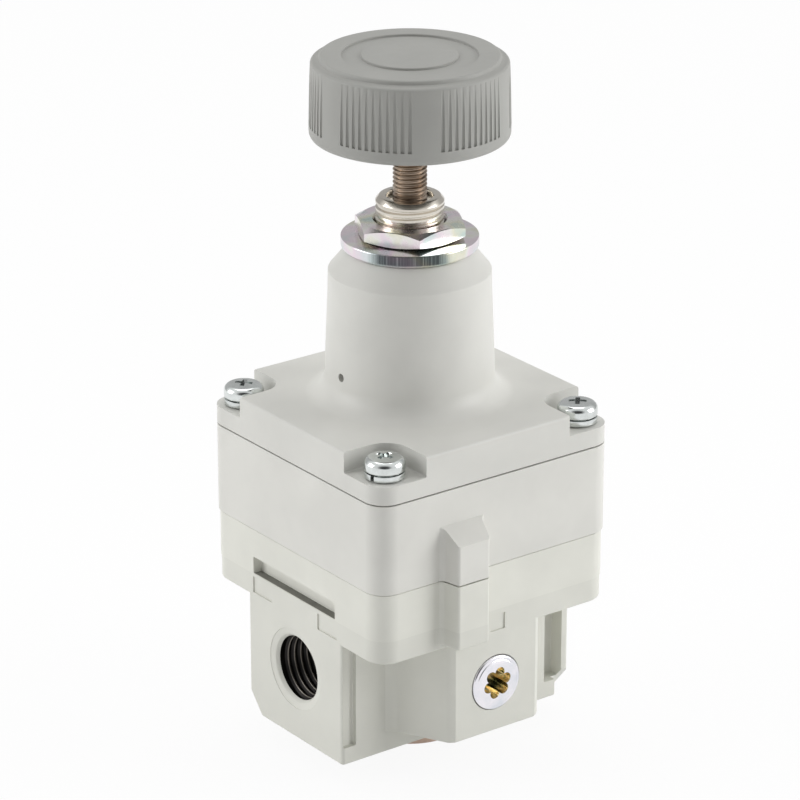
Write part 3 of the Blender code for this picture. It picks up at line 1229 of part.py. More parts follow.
def knob_profile():
    """Return the section of the knob: crown, shoulder, side, rounded rim, hollow and hub."""
    rounding = KNOB_BOTTOM_ROUNDING
    roof = KNOB_HEIGHT - KNOB_ROOF
    inner = KNOB_BOTTOM_RADIUS - KNOB_WALL
    crown = KNOB_SIDE_HEIGHT + KNOB_SHOULDER_RISE
    ring_floor = KNOB_HEIGHT - KNOB_RING_DEPTH
    hub_bore = INSERT_RADIUS + CLEARANCE
    bore_top = KNOB_HUB_SETBACK + INSERT_LENGTH + CLEARANCE
    profile = [(0, KNOB_HEIGHT), (KNOB_RING_INNER_RADIUS, KNOB_HEIGHT), (KNOB_RING_INNER_RADIUS, ring_floor),
               (KNOB_RING_OUTER_RADIUS, ring_floor), (KNOB_RING_OUTER_RADIUS, KNOB_HEIGHT),
               (KNOB_CROWN_RADIUS, KNOB_HEIGHT), (KNOB_CROWN_RADIUS, crown), (KNOB_SHOULDER_RADIUS, crown)]
    profile += [(KNOB_TOP_SIDE_RADIUS - KNOB_RING_DEPTH, KNOB_SIDE_HEIGHT + KNOB_SHOULDER_RISE / 2),
                (KNOB_TOP_SIDE_RADIUS, KNOB_SIDE_HEIGHT), (KNOB_RADIUS, rounding)]
    profile += arc((KNOB_RADIUS - rounding, rounding), rounding, 0, -90, 3)[1:]
    profile += [(inner, 0), (inner, roof), (KNOB_HUB_RADIUS, roof), (KNOB_HUB_RADIUS, KNOB_HUB_SETBACK),
                (hub_bore, KNOB_HUB_SETBACK), (hub_bore, bore_top), (0, bore_top)]
    return profile


def knob_groove_cutter(bottom):
    """Return all finger grooves as one cutter."""
    work = bmesh.new()
    low = KNOB_GROOVE_BOTTOM
    high = KNOB_SIDE_HEIGHT + OVERRUN
    depth = high - low
    half_group = (KNOB_GROOVES_IN_GROUP - 1) / 2
    for group in range(KNOB_GROUPS):
        for index in range(KNOB_GROOVES_IN_GROUP):
            angle = KNOB_TURN_DEG + 360 * group / KNOB_GROUPS + (index - half_group) * KNOB_GROOVE_PITCH_DEG
            made = bmesh.ops.create_cone(work, cap_ends=True, segments=6, radius1=KNOB_GROOVE_RADIUS,
                                         radius2=KNOB_GROOVE_RADIUS, depth=depth)
            spot = Vector((math.cos(math.radians(angle)), math.sin(math.radians(angle)), 0))
            spot *= KNOB_RADIUS - KNOB_GROOVE_SINK
            spot.z = (low + high) / 2
            bmesh.ops.translate(work, vec=spot, verts=made["verts"])
    mesh = bpy.data.meshes.new("knob_grooves")
    work.to_mesh(mesh)
    work.free()
    grooves = add_object("knob_grooves", mesh, CUTTERS_NAME)
    grooves.location = (0, 0, bottom)
    return grooves


def build_knob():
    """Moulded knob with six groups of finger grooves and a ring recess in its crown."""
    bottom = knob_levels()[0]
    knob = turned("knob", knob_profile(), bottom, LARGE_STEPS)
    cut(knob, knob_groove_cutter(bottom))
    return look(knob, "grey_plastic")


def build_knob_insert():
    """Brass insert moulded into the knob's hub, which grips the stem."""
    bottom = knob_levels()[0] + KNOB_HUB_SETBACK
    insert = ring("knob_insert", STEM_RADIUS + CLEARANCE, INSERT_RADIUS, INSERT_LENGTH, bottom, SMALL_STEPS)
    return look(insert, "brass")


def build_body_screws():
    """Four cross-recess screws with split spring washers."""
    washer_bottom = NOTCH_FLOOR + CLEARANCE
    head_bottom = washer_bottom + SPRING_WASHER_THICKNESS + CLEARANCE
    shank_end = LOWER_TOP - SCREW_ENGAGEMENT - head_bottom
    radius = SCREW_HEAD_RADIUS
    top = SCREW_HEAD_HEIGHT
    profile = [(0, top), (radius / 2, top - SCREW_CROSS_WIDTH / 8), (radius * 5 / 6, top - SCREW_CROSS_WIDTH / 2),
               (radius, top / 2), (radius, 0), (SCREW_SHANK_RADIUS, 0), (SCREW_SHANK_RADIUS, shank_end),
               (0, shank_end)]
    screw = turned("body_screw_front_left", profile, steps=SMALL_STEPS)
    wide = SCREW_CROSS_LENGTH / 2
    slim = SCREW_CROSS_WIDTH / 2
    floor = top - SCREW_CROSS_DEPTH
    cut(screw, block("cross_a", (-wide, -slim, floor), (wide, slim, top + OVERRUN)))
    cut(screw, block("cross_b", (-slim, -wide, floor), (slim, wide, top + OVERRUN)))
    settle(screw)
    hole = SCREW_SHANK_RADIUS + CLEARANCE
    washer = ring("spring_washer_front_left", hole, SPRING_WASHER_RADIUS, SPRING_WASHER_THICKNESS,
                  steps=SMALL_STEPS)
    split = SPRING_WASHER_SPLIT / 2
    cut(washer, block("washer_split", (0, -split, -OVERRUN),
                      (SPRING_WASHER_RADIUS + OVERRUN, split, SPRING_WASHER_THICKNESS + OVERRUN)))
    settle(washer)
    for corner, side_x, side_y in four_corners():
        x = side_x * SCREW_OFFSET
        y = side_y * SCREW_OFFSET
        turn = 90 * side_x + 45 * side_y
        place_screw = (x, y, head_bottom)
        place_washer = (x, y, washer_bottom)
        if corner == "front_left":
            screw.location = place_screw
            washer.location = place_washer
        else:
            copy_of(screw, "body_screw_" + corner, place_screw, turn)
            copy_of(washer, "spring_washer_" + corner, place_washer, turn)
    look(screw, "bright_zinc")
    look(washer, "bright_zinc")


def lobed_outline():
    """Return the six-lobed outline of the plug's socket."""
    outline = []
    for index in range(PLUG_SOCKET_POINTS):
        angle = 2 * math.pi * index / PLUG_SOCKET_POINTS
        radius = PLUG_SOCKET_RADIUS + PLUG_SOCKET_WAVE * math.cos(PLUG_SOCKET_LOBES * angle)
        outline.append((radius * math.cos(angle), radius * math.sin(angle)))
    return outline


def build_gauge_plugs():
    """Plugs in both gauge ports, each with a seal under its head."""
    head = PLUG_HEAD_HEIGHT
    chamfer = PLUG_HEAD_CHAMFER
    neck = GAUGE_PORT_RADIUS - CLEARANCE
    seal_middle = neck - PLUG_SEAL_WIRE
    relief = seal_middle - PLUG_SEAL_WIRE - SHEET_CLEARANCE
    profile = [(0, head), (PLUG_HEAD_RADIUS - chamfer, head), (PLUG_HEAD_RADIUS, head - chamfer), (PLUG_HEAD_RADIUS, 0),
               (relief, 0), (relief, -PLUG_SEAL_RELIEF), (neck, -PLUG_SEAL_RELIEF), (neck, -PLUG_SHANK_LENGTH),
               (0, -PLUG_SHANK_LENGTH)]
    plug = turned("gauge_plug_front", profile, steps=MEDIUM_STEPS)
    cut(plug, slab("plug_socket", lobed_outline(), head - PLUG_SOCKET_DEPTH, head + OVERRUN, CUTTERS_NAME))
    settle(plug)
    seal = turned("gauge_seal_front", torus_profile(seal_middle, PLUG_SEAL_WIRE),
                  steps=SMALL_STEPS, closed=True)
    settle(seal)
    face = HALF_BAND - GAUGE_COUNTERBORE_DEPTH + CLEARANCE
    seal_face = face - PLUG_SEAL_RELIEF / 2
    plug_back = copy_of(plug, "gauge_plug_back", (0, face, PORT_AXIS))
    seal_back = copy_of(seal, "gauge_seal_back", (0, seal_face, PORT_AXIS))
    plug.location = (0, -face, PORT_AXIS)
    seal.location = (0, -seal_face, PORT_AXIS)
    for piece, turn_deg in ((plug, 90), (seal, 90), (plug_back, -90), (seal_back, -90)):
        piece.rotation_euler = (math.radians(turn_deg), 0, 0)
    look(plug, "bright_zinc")
    look(seal, "black_rubber")


def carry(name, height, pieces):
    """Hang the pieces of one moving body on an empty that sits on the joint's axis."""
    empty = bpy.data.objects.new(name, None)
    collection(PARTS_NAME).objects.link(empty)
    empty.location = (0, 0, height)
    for piece_name in pieces:
        piece = bpy.data.objects[piece_name]
        piece.parent = empty
        piece.location.z -= height
        for step in piece.modifiers:
            if step.type == "BOOLEAN":
                step.object.parent = empty
                step.object.location.z -= height
    return empty


def build_regulator():
    """Build every piece and hang the moving ones on their axes."""
    clear_scene()
    build_lower_body()
    build_mid_body()
    build_bonnet()
    build_valve_guide()
    build_guide_seal()
    build_poppet()
    build_poppet_seal()
    build_valve_spring()
    build_spindle()
    build_diaphragms()
    build_stack_plates()
    build_spacer()
    build_nozzle()
    build_orifice()
    build_flapper()
    build_flapper_sheet()
    build_lower_spring_seat()
    build_set_spring()
    build_upper_spring_seat()
    build_ball()
    build_stem()
    build_bushing()
    build_panel_washer()
    build_panel_nut()
    build_knob()
    build_knob_insert()
    build_body_screws()
    build_gauge_plugs()
    carry("valve_axis", PORT_AXIS, ["valve_poppet", "valve_face_seal"])
    carry("relief_axis", SPACER_BOTTOM, ["relief_spindle", "lower_diaphragm_plate", "upper_diaphragm_plate",
                                         "diaphragm_hub", "diaphragm_nut"])
    carry("flapper_axis", MID_TOP, ["flapper_plate", "lower_spring_seat"])
    carry("feed_axis", spring_levels()[1], ["upper_spring_seat", "thrust_ball"])
    carry("knob_axis", knob_levels()[0], ["knob", "knob_insert", "adjusting_stem"])


build_regulator()
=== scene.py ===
# %% [markdown]
# # A precision pressure regulator
# This lesson dresses the solid model of an air pressure regulator. The solids give every place
# and size, and the cells below build finer pieces over them: three painted castings, a grooved
# knob on a threaded screw, plated nuts and screws, and the springs and diaphragms inside.
# All sizes are written in millimetres, because that is how the real part is drawn, and MM turns
# them into Blender's metres.

# %% Load the solid model
import math

import bmesh
import bpy
from mathutils import Matrix, Vector


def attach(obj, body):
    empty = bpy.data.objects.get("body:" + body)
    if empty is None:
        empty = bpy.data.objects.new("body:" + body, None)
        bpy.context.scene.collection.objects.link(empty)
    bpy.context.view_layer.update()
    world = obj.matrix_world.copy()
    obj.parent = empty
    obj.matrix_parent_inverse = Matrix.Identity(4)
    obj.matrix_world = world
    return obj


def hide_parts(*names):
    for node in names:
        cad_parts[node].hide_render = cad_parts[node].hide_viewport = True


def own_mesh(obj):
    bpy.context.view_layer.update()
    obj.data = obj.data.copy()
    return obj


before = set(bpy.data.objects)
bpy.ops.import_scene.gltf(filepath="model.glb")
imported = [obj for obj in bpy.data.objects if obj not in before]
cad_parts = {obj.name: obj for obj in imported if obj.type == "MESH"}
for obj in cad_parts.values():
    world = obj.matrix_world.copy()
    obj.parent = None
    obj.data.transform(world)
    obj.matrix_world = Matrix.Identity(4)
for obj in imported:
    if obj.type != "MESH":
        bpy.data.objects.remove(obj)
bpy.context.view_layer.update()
MM = 0.001
scene = bpy.context.scene

# %% [markdown]
# ## The camera
# A product photograph is taken with a long lens from some distance, so upright edges stay almost
# parallel. The camera stands 0.7 m away, to the left of the front face and above it. A Track To
# constraint would work too, but working out the direction once keeps the file plain.

# %% Camera
CAMERA_PLACE = Vector((-390.22, -521.68, 321.54)) * MM
CAMERA_AIM = Vector((-1.34, 1.00, 61.14)) * MM


def placed(name, data):
    found = bpy.data.objects.new(name, data)
    scene.collection.objects.link(found)
    return found


def pointed(thing, place, aim):
    thing.location = place
    thing.rotation_mode = "QUATERNION"
    thing.rotation_quaternion = (Vector(aim) - Vector(place)).to_track_quat("-Z", "Y")
    return thing


camera_data = bpy.data.cameras.new("product_camera")
camera_data.sensor_width = 36
camera_data.lens = 183.57
scene.camera = pointed(placed("product_camera", camera_data), CAMERA_PLACE, CAMERA_AIM)
print("camera distance in mm:", round((CAMERA_AIM - CAMERA_PLACE).length / MM))

# %% [markdown]
# ## From a bmesh to a piece
# Every piece ends in the same way: doubles are merged, the normals are turned outwards, and faces
# are shaded smooth up to a limit angle so that real edges stay crisp. Weighted normals are added
# as a modifier, because flat faces beside small rounded edges would otherwise look dented.

# %% Finish a mesh
MERGE_REACH = 0.000002


def crisp(piece, sharp_deg=32):
    piece.data.shade_smooth()
    piece.data.set_sharp_from_angle(angle=math.radians(sharp_deg))
    return piece


def piece_from(work, name, sharp_deg=32):
    bmesh.ops.remove_doubles(work, verts=work.verts, dist=MERGE_REACH)
    bmesh.ops.recalc_face_normals(work, faces=work.faces)
    mesh = bpy.data.meshes.new(name)
    work.to_mesh(mesh)
    work.free()
    return crisp(placed(name, mesh), sharp_deg)


def even_shading(piece):
    weighted = piece.modifiers.new("even_shading", "WEIGHTED_NORMAL")
    weighted.keep_sharp = True
    weighted.weight = 80


# %% [markdown]
# ## Turned shapes
# Most of the metal pieces come off a lathe, so they are spun: a half outline of radius and height
# turns once about the axis. A Screw modifier does the same, but the bmesh operator gives a plain
# mesh at once, which can then be cut. Every spun piece stands a few degrees round its axis, because
# a Boolean fails where the seam of a cutter lies on an edge of what it cuts.

# %% Turn an outline
SEAM_TURN = math.radians(2.3)


def turned(name, outline, steps=96, closed=False):
    work = bmesh.new()
    points = [work.verts.new((radius * MM, 0, height * MM)) for radius, height in outline]
    lines = [work.edges.new(pair) for pair in zip(points, points[1:])]
    if closed:
        lines.append(work.edges.new((points[-1], points[0])))
    bmesh.ops.spin(work, geom=points + lines, cent=(0, 0, 0), axis=(0, 0, 1), dvec=(0, 0, 0),
                   angle=2 * math.pi, steps=steps, use_merge=True)
    bmesh.ops.rotate(work, cent=(0, 0, 0), matrix=Matrix.Rotation(SEAM_TURN, 3, "Z"), verts=work.verts)
    return piece_from(work, name)


def arc(centre_radius, centre_height, radius, start_deg, end_deg, steps=6):
    points = []
    for step in range(steps + 1):
        angle = math.radians(start_deg + (end_deg - start_deg) * step / steps)
        points.append((centre_radius + radius * math.cos(angle), centre_height + radius * math.sin(angle)))
    return points


# %% [markdown]
# ## Cast shapes
# A casting is built as its pattern maker would: a flat plan is pulled up, its upright corners are
# rounded, and then the top and bottom rims. Each plan point carries its own corner size. Separate
# blocks are then joined, and the bores are cut out of the sum.

# %% Pull up a plan
SAME_PLACE = 1e-6
RIM_STEPS = 3


def metres(place):
    return [value * MM for value in place]


def pull(work, corners, way):
    face = work.faces.new([work.verts.new(metres(corner)) for corner in corners])
    raised = bmesh.ops.extrude_face_region(work, geom=[face])["geom"]
    bmesh.ops.translate(work, vec=metres(way),
                        verts=[part for part in raised if isinstance(part, bmesh.types.BMVert)])


def round_edges(work, edges, size, segments):
    bmesh.ops.bevel(work, geom=edges, offset=size * MM, offset_type="OFFSET", affect="EDGES",
                    segments=segments, profile=0.5, material=-1)


def plan_block(name, plan, bottom, top, foot=0.0, brim=0.0, corner_steps=6):
    work = bmesh.new()
    pull(work, [(x, y, bottom) for x, y, _ in plan], (0, 0, top - bottom))
    bmesh.ops.recalc_face_normals(work, faces=work.faces)
    for x, y, size in plan:
        if size:
            here = Vector((x, y)) * MM
            uprights = [edge for edge in work.edges
                        if all((vert.co.xy - here).length < SAME_PLACE for vert in edge.verts)]
            round_edges(work, uprights, size, corner_steps)
    for level, size in ((bottom, foot), (top, brim)):
        if size:
            rim = [edge for edge in work.edges
                   if all(abs(vert.co.z - level * MM) < SAME_PLACE for vert in edge.verts)]
            round_edges(work, rim, size, RIM_STEPS)
    return piece_from(work, name)


def square_plan(half_x, half_y, corner):
    return [(half_x, half_y, corner), (-half_x, half_y, corner), (-half_x, -half_y, corner),
            (half_x, -half_y, corner)]


# %% [markdown]
# ## Round holes
# A drill is a create_cone with two equal radii, laid along any direction. Drilled holes get many
# more sides here than in the solids, so that their mouths look round close up.

# %% Drill and box cutters
def drill(name, radius, start, end, sides=64):
    start = Vector(start) * MM
    end = Vector(end) * MM
    span = end - start
    work = bmesh.new()
    turn = span.to_track_quat("Z", "Y").to_matrix().to_4x4() @ Matrix.Rotation(SEAM_TURN, 4, "Z")
    bmesh.ops.create_cone(work, cap_ends=True, segments=sides, radius1=radius * MM, radius2=radius * MM,
                          depth=span.length, matrix=Matrix.Translation((start + end) / 2) @ turn)
    return piece_from(work, name)


def box_cutter(name, corner, opposite, rounding=0.0, segments=2):
    low = Vector([min(pair) for pair in zip(corner, opposite)]) * MM
    high = Vector([max(pair) for pair in zip(corner, opposite)]) * MM
    work = bmesh.new()
    bmesh.ops.create_cube(work, size=1)
    bmesh.ops.scale(work, vec=high - low, verts=work.verts)
    bmesh.ops.translate(work, vec=(low + high) / 2, verts=work.verts)
    if rounding:
        round_edges(work, work.edges[:], rounding, segments)
    return piece_from(work, name)


# %% [markdown]
# ## Joining and cutting
# Booleans are laid on as modifiers and then settled into the mesh at once, so a finished piece has
# no live cutters behind it. The exact solver is slower than the fast one but copes with faces that
# lie in one plane, of which a casting has many.

# %% Settle Boolean steps
def settle(piece, tools, operation, sharp_deg=32):
    for tool in tools:
        step = piece.modifiers.new(tool.name, "BOOLEAN")
        step.operation = operation
        step.solver = "EXACT"
        step.object = tool
    bpy.context.view_layer.update()
    graph = bpy.context.evaluated_depsgraph_get()
    mesh = bpy.data.meshes.new_from_object(piece.evaluated_get(graph))
    piece.modifiers.clear()
    piece.data = mesh
    for tool in tools:
        bpy.data.objects.remove(tool, do_unlink=True)
    return crisp(piece, sharp_deg)


def joined(piece, *tools):
    return settle(piece, tools, "UNION")


def carved(piece, *tools):
    return settle(piece, tools, "DIFFERENCE")


def report(piece):
    work = bmesh.new()
    work.from_mesh(piece.data)
    loose = sum(1 for edge in work.edges if len(edge.link_faces) != 2)
    print(f"{piece.name}: {len(work.faces)} faces, {loose} open edges")
    work.free()
    return piece


# %% [markdown]
# ## Steps of a finish
# Each finish is a graph of shader nodes. One function adds a node, and each of its inputs takes
# either another node's output or a plain value. The short functions after it stand for the nodes
# that are used most: a sum, a change of range, a noise, a colour ramp, a mix and a distance.

# %% Shader steps
def add(tree, kind, fed=(), operation=None):
    node = tree.nodes.new("ShaderNode" + kind)
    if operation:
        node.operation = operation
    for key, value in dict(fed).items():
        if isinstance(value, bpy.types.NodeSocket):
            tree.links.new(value, node.inputs[key])
        else:
            node.inputs[key].default_value = value
    return node.outputs


def maths(tree, operation, first, second=0.0):
    return add(tree, "Math", {0: first, 1: second}, operation)["Value"]


def remap(tree, value, start, end, low=0.0, high=1.0):
    return add(tree, "MapRange", {"Value": value, "From Min": start, "From Max": end,
                                  "To Min": low, "To Max": high})["Result"]


def spread(tree, value, low, high):
    return remap(tree, value, 0.3, 0.7, low, high)


def between(tree, value, start, end):
    return remap(tree, value, start * MM, end * MM)


def noise(tree, place, scale, detail=3.0, roughness=0.55):
    return add(tree, "TexNoise", {"Vector": place, "Scale": scale, "Detail": detail,
                                  "Roughness": roughness})["Fac"]


def ramp(tree, value, stops):
    colours = tree.nodes.new("ShaderNodeValToRGB")
    band = colours.color_ramp
    while len(band.elements) < len(stops):
        band.elements.new(0.5)
    for element, (position, colour) in zip(band.elements, stops):
        element.position = position
        element.color = (*colour, 1.0)
    tree.links.new(value, colours.inputs["Fac"])
    return colours.outputs["Color"]


def mixed(tree, share, first, second, blend_type="MIX"):
    node = tree.nodes.new("ShaderNodeMix")
    node.data_type = "RGBA"
    node.blend_type = blend_type
    tree.links.new(share, node.inputs["Factor"])
    tree.links.new(first, node.inputs["A"])
    tree.links.new(second, node.inputs["B"])
    return node.outputs["Result"]


def distance(tree, first, second):
    flat = add(tree, "CombineXYZ", {"X": first, "Y": second})["Vector"]
    return add(tree, "VectorMath", {0: flat}, "LENGTH")["Value"]


# %% [markdown]
# ## Satin paint on diecast metal
# The castings are sprayed in a warm light grey. Close up such paint is not one flat colour: it has
# a faint orange peel from spraying, and slow clouds where it lies thicker. One noise tints the
# colour, a second changes the gloss, and a very fine one goes to a Bump node. All of them read
# Object coordinates, so the pattern sticks to the piece.

# %% Painted finish
def start_finish(name):
    material = bpy.data.materials.new(name)
    material.use_nodes = True
    tree = material.node_tree
    return material, tree, add(tree, "TexCoord")["Object"]


def end_finish(tree, colour, roughness, metallic, height, strength, depth):
    shader = tree.nodes["Principled BSDF"]
    tree.links.new(colour, shader.inputs["Base Color"])
    tree.links.new(roughness, shader.inputs["Roughness"])
    shader.inputs["Metallic"].default_value = metallic
    bump = add(tree, "Bump", {"Strength": strength, "Distance": depth * MM, "Height": height})
    tree.links.new(bump["Normal"], shader.inputs["Normal"])


def shade(colour, factor):
    return tuple(min(1.0, channel * factor) for channel in colour)


def plain_finish(name, colour, gloss, metallic=0.0, cloud_scale=90, contrast=0.03, grain_scale=1500,
                 grain=0.1, grain_depth=0.02):
    material, tree, place = start_finish(name)
    tint = ramp(tree, noise(tree, place, cloud_scale),
                [(0.35, shade(colour, 1 - contrast)), (0.65, shade(colour, 1 + contrast))])
    shine = spread(tree, noise(tree, place, cloud_scale * 4), gloss * 0.9, gloss * 1.12)
    end_finish(tree, tint, shine, metallic, noise(tree, place, grain_scale), grain, grain_depth)
    return material


# Painted shade: below the given height the paint's colour is scaled darker by the share. This stands in for
# the shade on the lower casting's drafted faces, which tilt slightly downward.
def painted_shade_below(material, height, share):
    tree = material.node_tree
    base = tree.nodes["Principled BSDF"].inputs["Base Color"]
    tint = base.links[0].from_socket
    place = tree.nodes["Texture Coordinate"].outputs["Object"]
    level = add(tree, "SeparateXYZ", {"Vector": place})["Z"]
    step = remap(tree, level, (height - 0.08) * MM, height * MM, share)
    tree.links.new(add(tree, "VectorMath", {"Vector": tint, "Scale": step}, "SCALE")["Vector"], base)
    return material


BAND_TOP = 30.7
# The lower paint carries painted shade below the top of the band.
paint_lower = painted_shade_below(plain_finish("satin_paint_lower", (0.715, 0.715, 0.655), 0.42), BAND_TOP, 0.95)
paint_mid = plain_finish("satin_paint_mid", (0.685, 0.680, 0.640), 0.42)
paint_bonnet = plain_finish("satin_paint_bonnet", (0.655, 0.652, 0.615), 0.45)
print("paints made:", paint_lower.name, paint_mid.name, paint_bonnet.name)

# %% [markdown]
# ## Dressing a piece
# A dressed piece takes a finish, rides on the body that carries it, and hides the solid it stands for.

# %% Dress a piece
def dress(piece, material, body, slot, *nodes):
    piece.data.materials.clear()
    piece.data.materials.append(material)
    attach(piece, body)
    if nodes:
        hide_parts(*nodes)
    return report(piece)


BODY = "regulator_body"

# %% [markdown]
# ## The lower body
# The lower casting carries the two big ports, the two gauge ports and the valve. It is the sum of a
# square flange, a port block that runs from left to right, two gauge blocks that widen towards the
# middle, and a small boss on the front that hides the pilot passage. The rims are rounded before
# the blocks are joined, which is quicker and cleaner than bevelling the finished sum.

# %% Heights and widths of the castings
BLOCK_BOTTOM = 3.9
PORT_HEIGHT = 17.0
FLANGE_BOTTOM = 26.4
LOWER_TOP = 39.15
MID_BOTTOM = 39.3
MID_TOP = 55.25
BONNET_BOTTOM = 55.75
PLATE_TOP = 62.65
BONNET_TOP = 89.1
HALF = 25.0
HALF_UPPER = 24.8
HALF_BAND = 24.7
CORNER = 4.0
SHEET_LAP = 0.13

# %% Front boss plan
BOSS_MIDDLE = -7.8
BOSS_FRONT = -28.6
BOSS_HALF = 3.25
BOSS_LEDGE = 1.3


def boss_plan(face):
    root = BOSS_HALF + 0.2 * (face - BOSS_FRONT)
    inside = face + 3
    return [(BOSS_MIDDLE - root - BOSS_LEDGE, inside, 0), (BOSS_MIDDLE - root - BOSS_LEDGE, face, 0),
            (BOSS_MIDDLE - root, face, 0.95), (BOSS_MIDDLE - BOSS_HALF, BOSS_FRONT, 0.4),
            (BOSS_MIDDLE + BOSS_HALF, BOSS_FRONT, 0.4), (BOSS_MIDDLE + root, face, 0.95),
            (BOSS_MIDDLE + root + BOSS_LEDGE, face, 0), (BOSS_MIDDLE + root + BOSS_LEDGE, inside, 0)]


# %% Blocks of the lower body
PORT_HALF_WIDTH = 13.9
lower = plan_block("dressed_lower_body", square_plan(HALF_UPPER, HALF_UPPER, CORNER), BAND_TOP, LOWER_TOP,
                   brim=0.12, corner_steps=10)
band = plan_block("band", square_plan(HALF_BAND, HALF_BAND, CORNER), FLANGE_BOTTOM, BAND_TOP + 1,
                  foot=0.45, corner_steps=10)
ports = plan_block("port_block", square_plan(HALF_BAND, PORT_HALF_WIDTH, 0.7), BLOCK_BOTTOM, BAND_TOP - 1,
                   foot=0.45, corner_steps=4)
gauge_quarter = [(8.6, HALF_BAND, 0.1), (9.75, 24.0, 0.5), (14.5, 14.5, 1.2), (18.5, 12.5, 0)]
gauge_half = gauge_quarter + [(x, -y, size) for x, y, size in reversed(gauge_quarter)]
gauge_plan = gauge_half + [(-x, y, size) for x, y, size in reversed(gauge_half)]
gauges = plan_block("gauge_blocks", gauge_plan, 7.8, BAND_TOP - 1, foot=0.4, corner_steps=3)
lower_boss = plan_block("lower_boss", boss_plan(-HALF_BAND - 0.03), FLANGE_BOTTOM + 0.85, LOWER_TOP - 0.05,
                        foot=0.5)
for block in (band, ports, gauges, lower_boss):
    report(joined(lower, block))

# %% [markdown]
# ### Bores of the lower body
# The middle is one stepped bore: the chamber for the valve guide, the valve seat with its raised lip,
# the upper valve chamber, the spindle's guide hole and the feedback chamber under the diaphragm.

# %% Stepped bore
valve_bore = turned("valve_bore", [
    (0, 40.5), (19.9, 40.5), (19.9, 38.6), (18.0, 38.6), (18.0, 32.5), (2.5, 32.5), (2.5, 25.5),
    (7.5, 25.5), (7.5, 20.0), (3.6, 20.0), (3.6, 16.4), (4.5, 16.4), (4.5, 17.0), (8.5, 17.0),
    (8.5, 2.0), (0, 2.0)], steps=72)
report(carved(lower, valve_bore))

# %% [markdown]
# ### Ports
# Each pipe port is one turned cutter: a faced ring at the mouth, a cone behind it and the tapped bore.
# One outline cuts cleaner than three nested drills. The gauge ports have a flat counterbore for the
# plug's head. Small passages join them to the two sides of the valve.

# %% Cut the ports
PORT_BORE = 6.25
PORT_END = 11.5
PORT_MOUTH = [(PORT_BORE, 1.1), (5.78, 0.95), (6.18, 0.4), (6.35, 0.32), (7.35, 0.1), (7.45, -0.05),
              (7.45, -1), (0, -1)]


def lie_along_x(piece, side, place_x=0.0):
    turn = Matrix.Rotation(math.radians(90 * side), 4, "Y")
    piece.data.transform(Matrix.Translation((place_x * MM, 0, PORT_HEIGHT * MM)) @ turn)
    return piece


for side in (-1, 1):
    mouth = [(radius, HALF_BAND - depth) for radius, depth in PORT_MOUTH]
    port_cutter = turned("port_cutter", [(0, PORT_END), (PORT_BORE, PORT_END)] + mouth)
    outside = (0, side * (HALF_BAND + 1), PORT_HEIGHT)
    carved(lower, lie_along_x(port_cutter, side),
           drill("gauge_counterbore", 5.13, (0, side * 23.9, PORT_HEIGHT), outside, 96),
           drill("gauge_bore", 4.5, (0, side * 14.2, PORT_HEIGHT), outside, 72),
           drill("gauge_passage", 1.0, (0, side * 6.5, 21.0), (0, side * 15.2, 21.0), 24))
carved(lower, drill("inlet_passage", 2.4, (6.3, 0, 13.2), (12.5, 0, 13.2), 48),
       drill("outlet_passage", 2.4, (-12.5, 0, 21.0), (-6.3, 0, 21.0), 48),
       drill("feedback_hole", 0.8, (0, 5.5, 24.5), (0, 5.5, 33.5), 24))
report(lower)

# %% [markdown]
# ### Slots, grooves and bevels
# The left and right faces each have a wide slot for a wall bracket, with a deeper channel along its
# floor. The ends of the port block have an upright groove in each flank, and one lower corner is
# bevelled. The shallow pockets over the ports stay bare.

# %% Cut the slots and grooves
SLOT_HALF = 12.05
CHANNEL_HALF = 11.93
GROOVES = {-1: (21.8, 24.45, 13.0), 1: (19.3, 23.15, 11.0)}
for side in (-1, 1):
    carved(lower, box_cutter("slot", (side * 23.1, -SLOT_HALF, 30.85), (side * 26.0, SLOT_HALF, 34.0), 0.25))
    carved(lower, box_cutter("channel", (side * 23.16, -CHANNEL_HALF, 28.35),
                             (side * 24.4, CHANNEL_HALF, 31.4)))
    start, end, floor_y = GROOVES[side]
    for flank in (-1, 1):
        carved(lower, box_cutter("groove", (side * start, flank * floor_y, 7.13),
                                 (side * end, flank * 15.0, 26.3), 0.28, 3))
report(lower)

# %% Bevel the end corners and cut the label pockets
POCKET_FLOOR = 24.45
POCKET_HALF = 2.8
for side in (-1, 1):
    wall = -side * PORT_HALF_WIDTH
    shape = [(wall - side, 2.9), (wall + side * 4.0, 2.9), (wall + side * 4.0, 3.9), (wall, 8.6),
             (wall - side, 8.6)]
    work = bmesh.new()
    pull(work, [(side * 21.7, y, z) for y, z in shape], (side * 5, 0, 0))
    carved(lower, piece_from(work, "end_bevel"))
    for middle in (-9.6, 9.6):
        carved(lower, box_cutter("label_pocket", (side * POCKET_FLOOR, middle - POCKET_HALF, 27.1),
                                 (side * 26, middle + POCKET_HALF, 30.1)))
carved(lower, box_cutter("gauge_label_pocket", (-1.2, -26, 26.7), (1.9, -POCKET_FLOOR, 29.7)))
report(lower)

# %% [markdown]
# ### Slot floors
# Each bracket slot looks nearly black along its floor, where shade falls into the deep channel. That shade is
# painted: a thin near-black strip lies over the channel as its own piece, a little below the casting's face.

# %% Lay the painted shade strips in the slots
# Painted shade: this near-black finish stands in for the shade in the slot's deep channel.
channel_shade_finish = plain_finish("painted_channel_shade", (0.175, 0.172, 0.152), 0.75, cloud_scale=260, contrast=0.12)
SHADE_STRIP_HALF = 11.98
for side, place in ((-1, "left"), (1, "right")):
    shade_strip = box_cutter("slot_shade_strip_" + place, (side * 23.12, -SHADE_STRIP_HALF, 30.2),
                       (side * 24.64, SHADE_STRIP_HALF, 30.92), 0.1)
    dress(shade_strip, channel_shade_finish, BODY, "black_rubber")

# %% [markdown]
# ### Screw and pilot holes
# Four tapped holes take the body screws, and the pilot passage climbs inside the front boss.

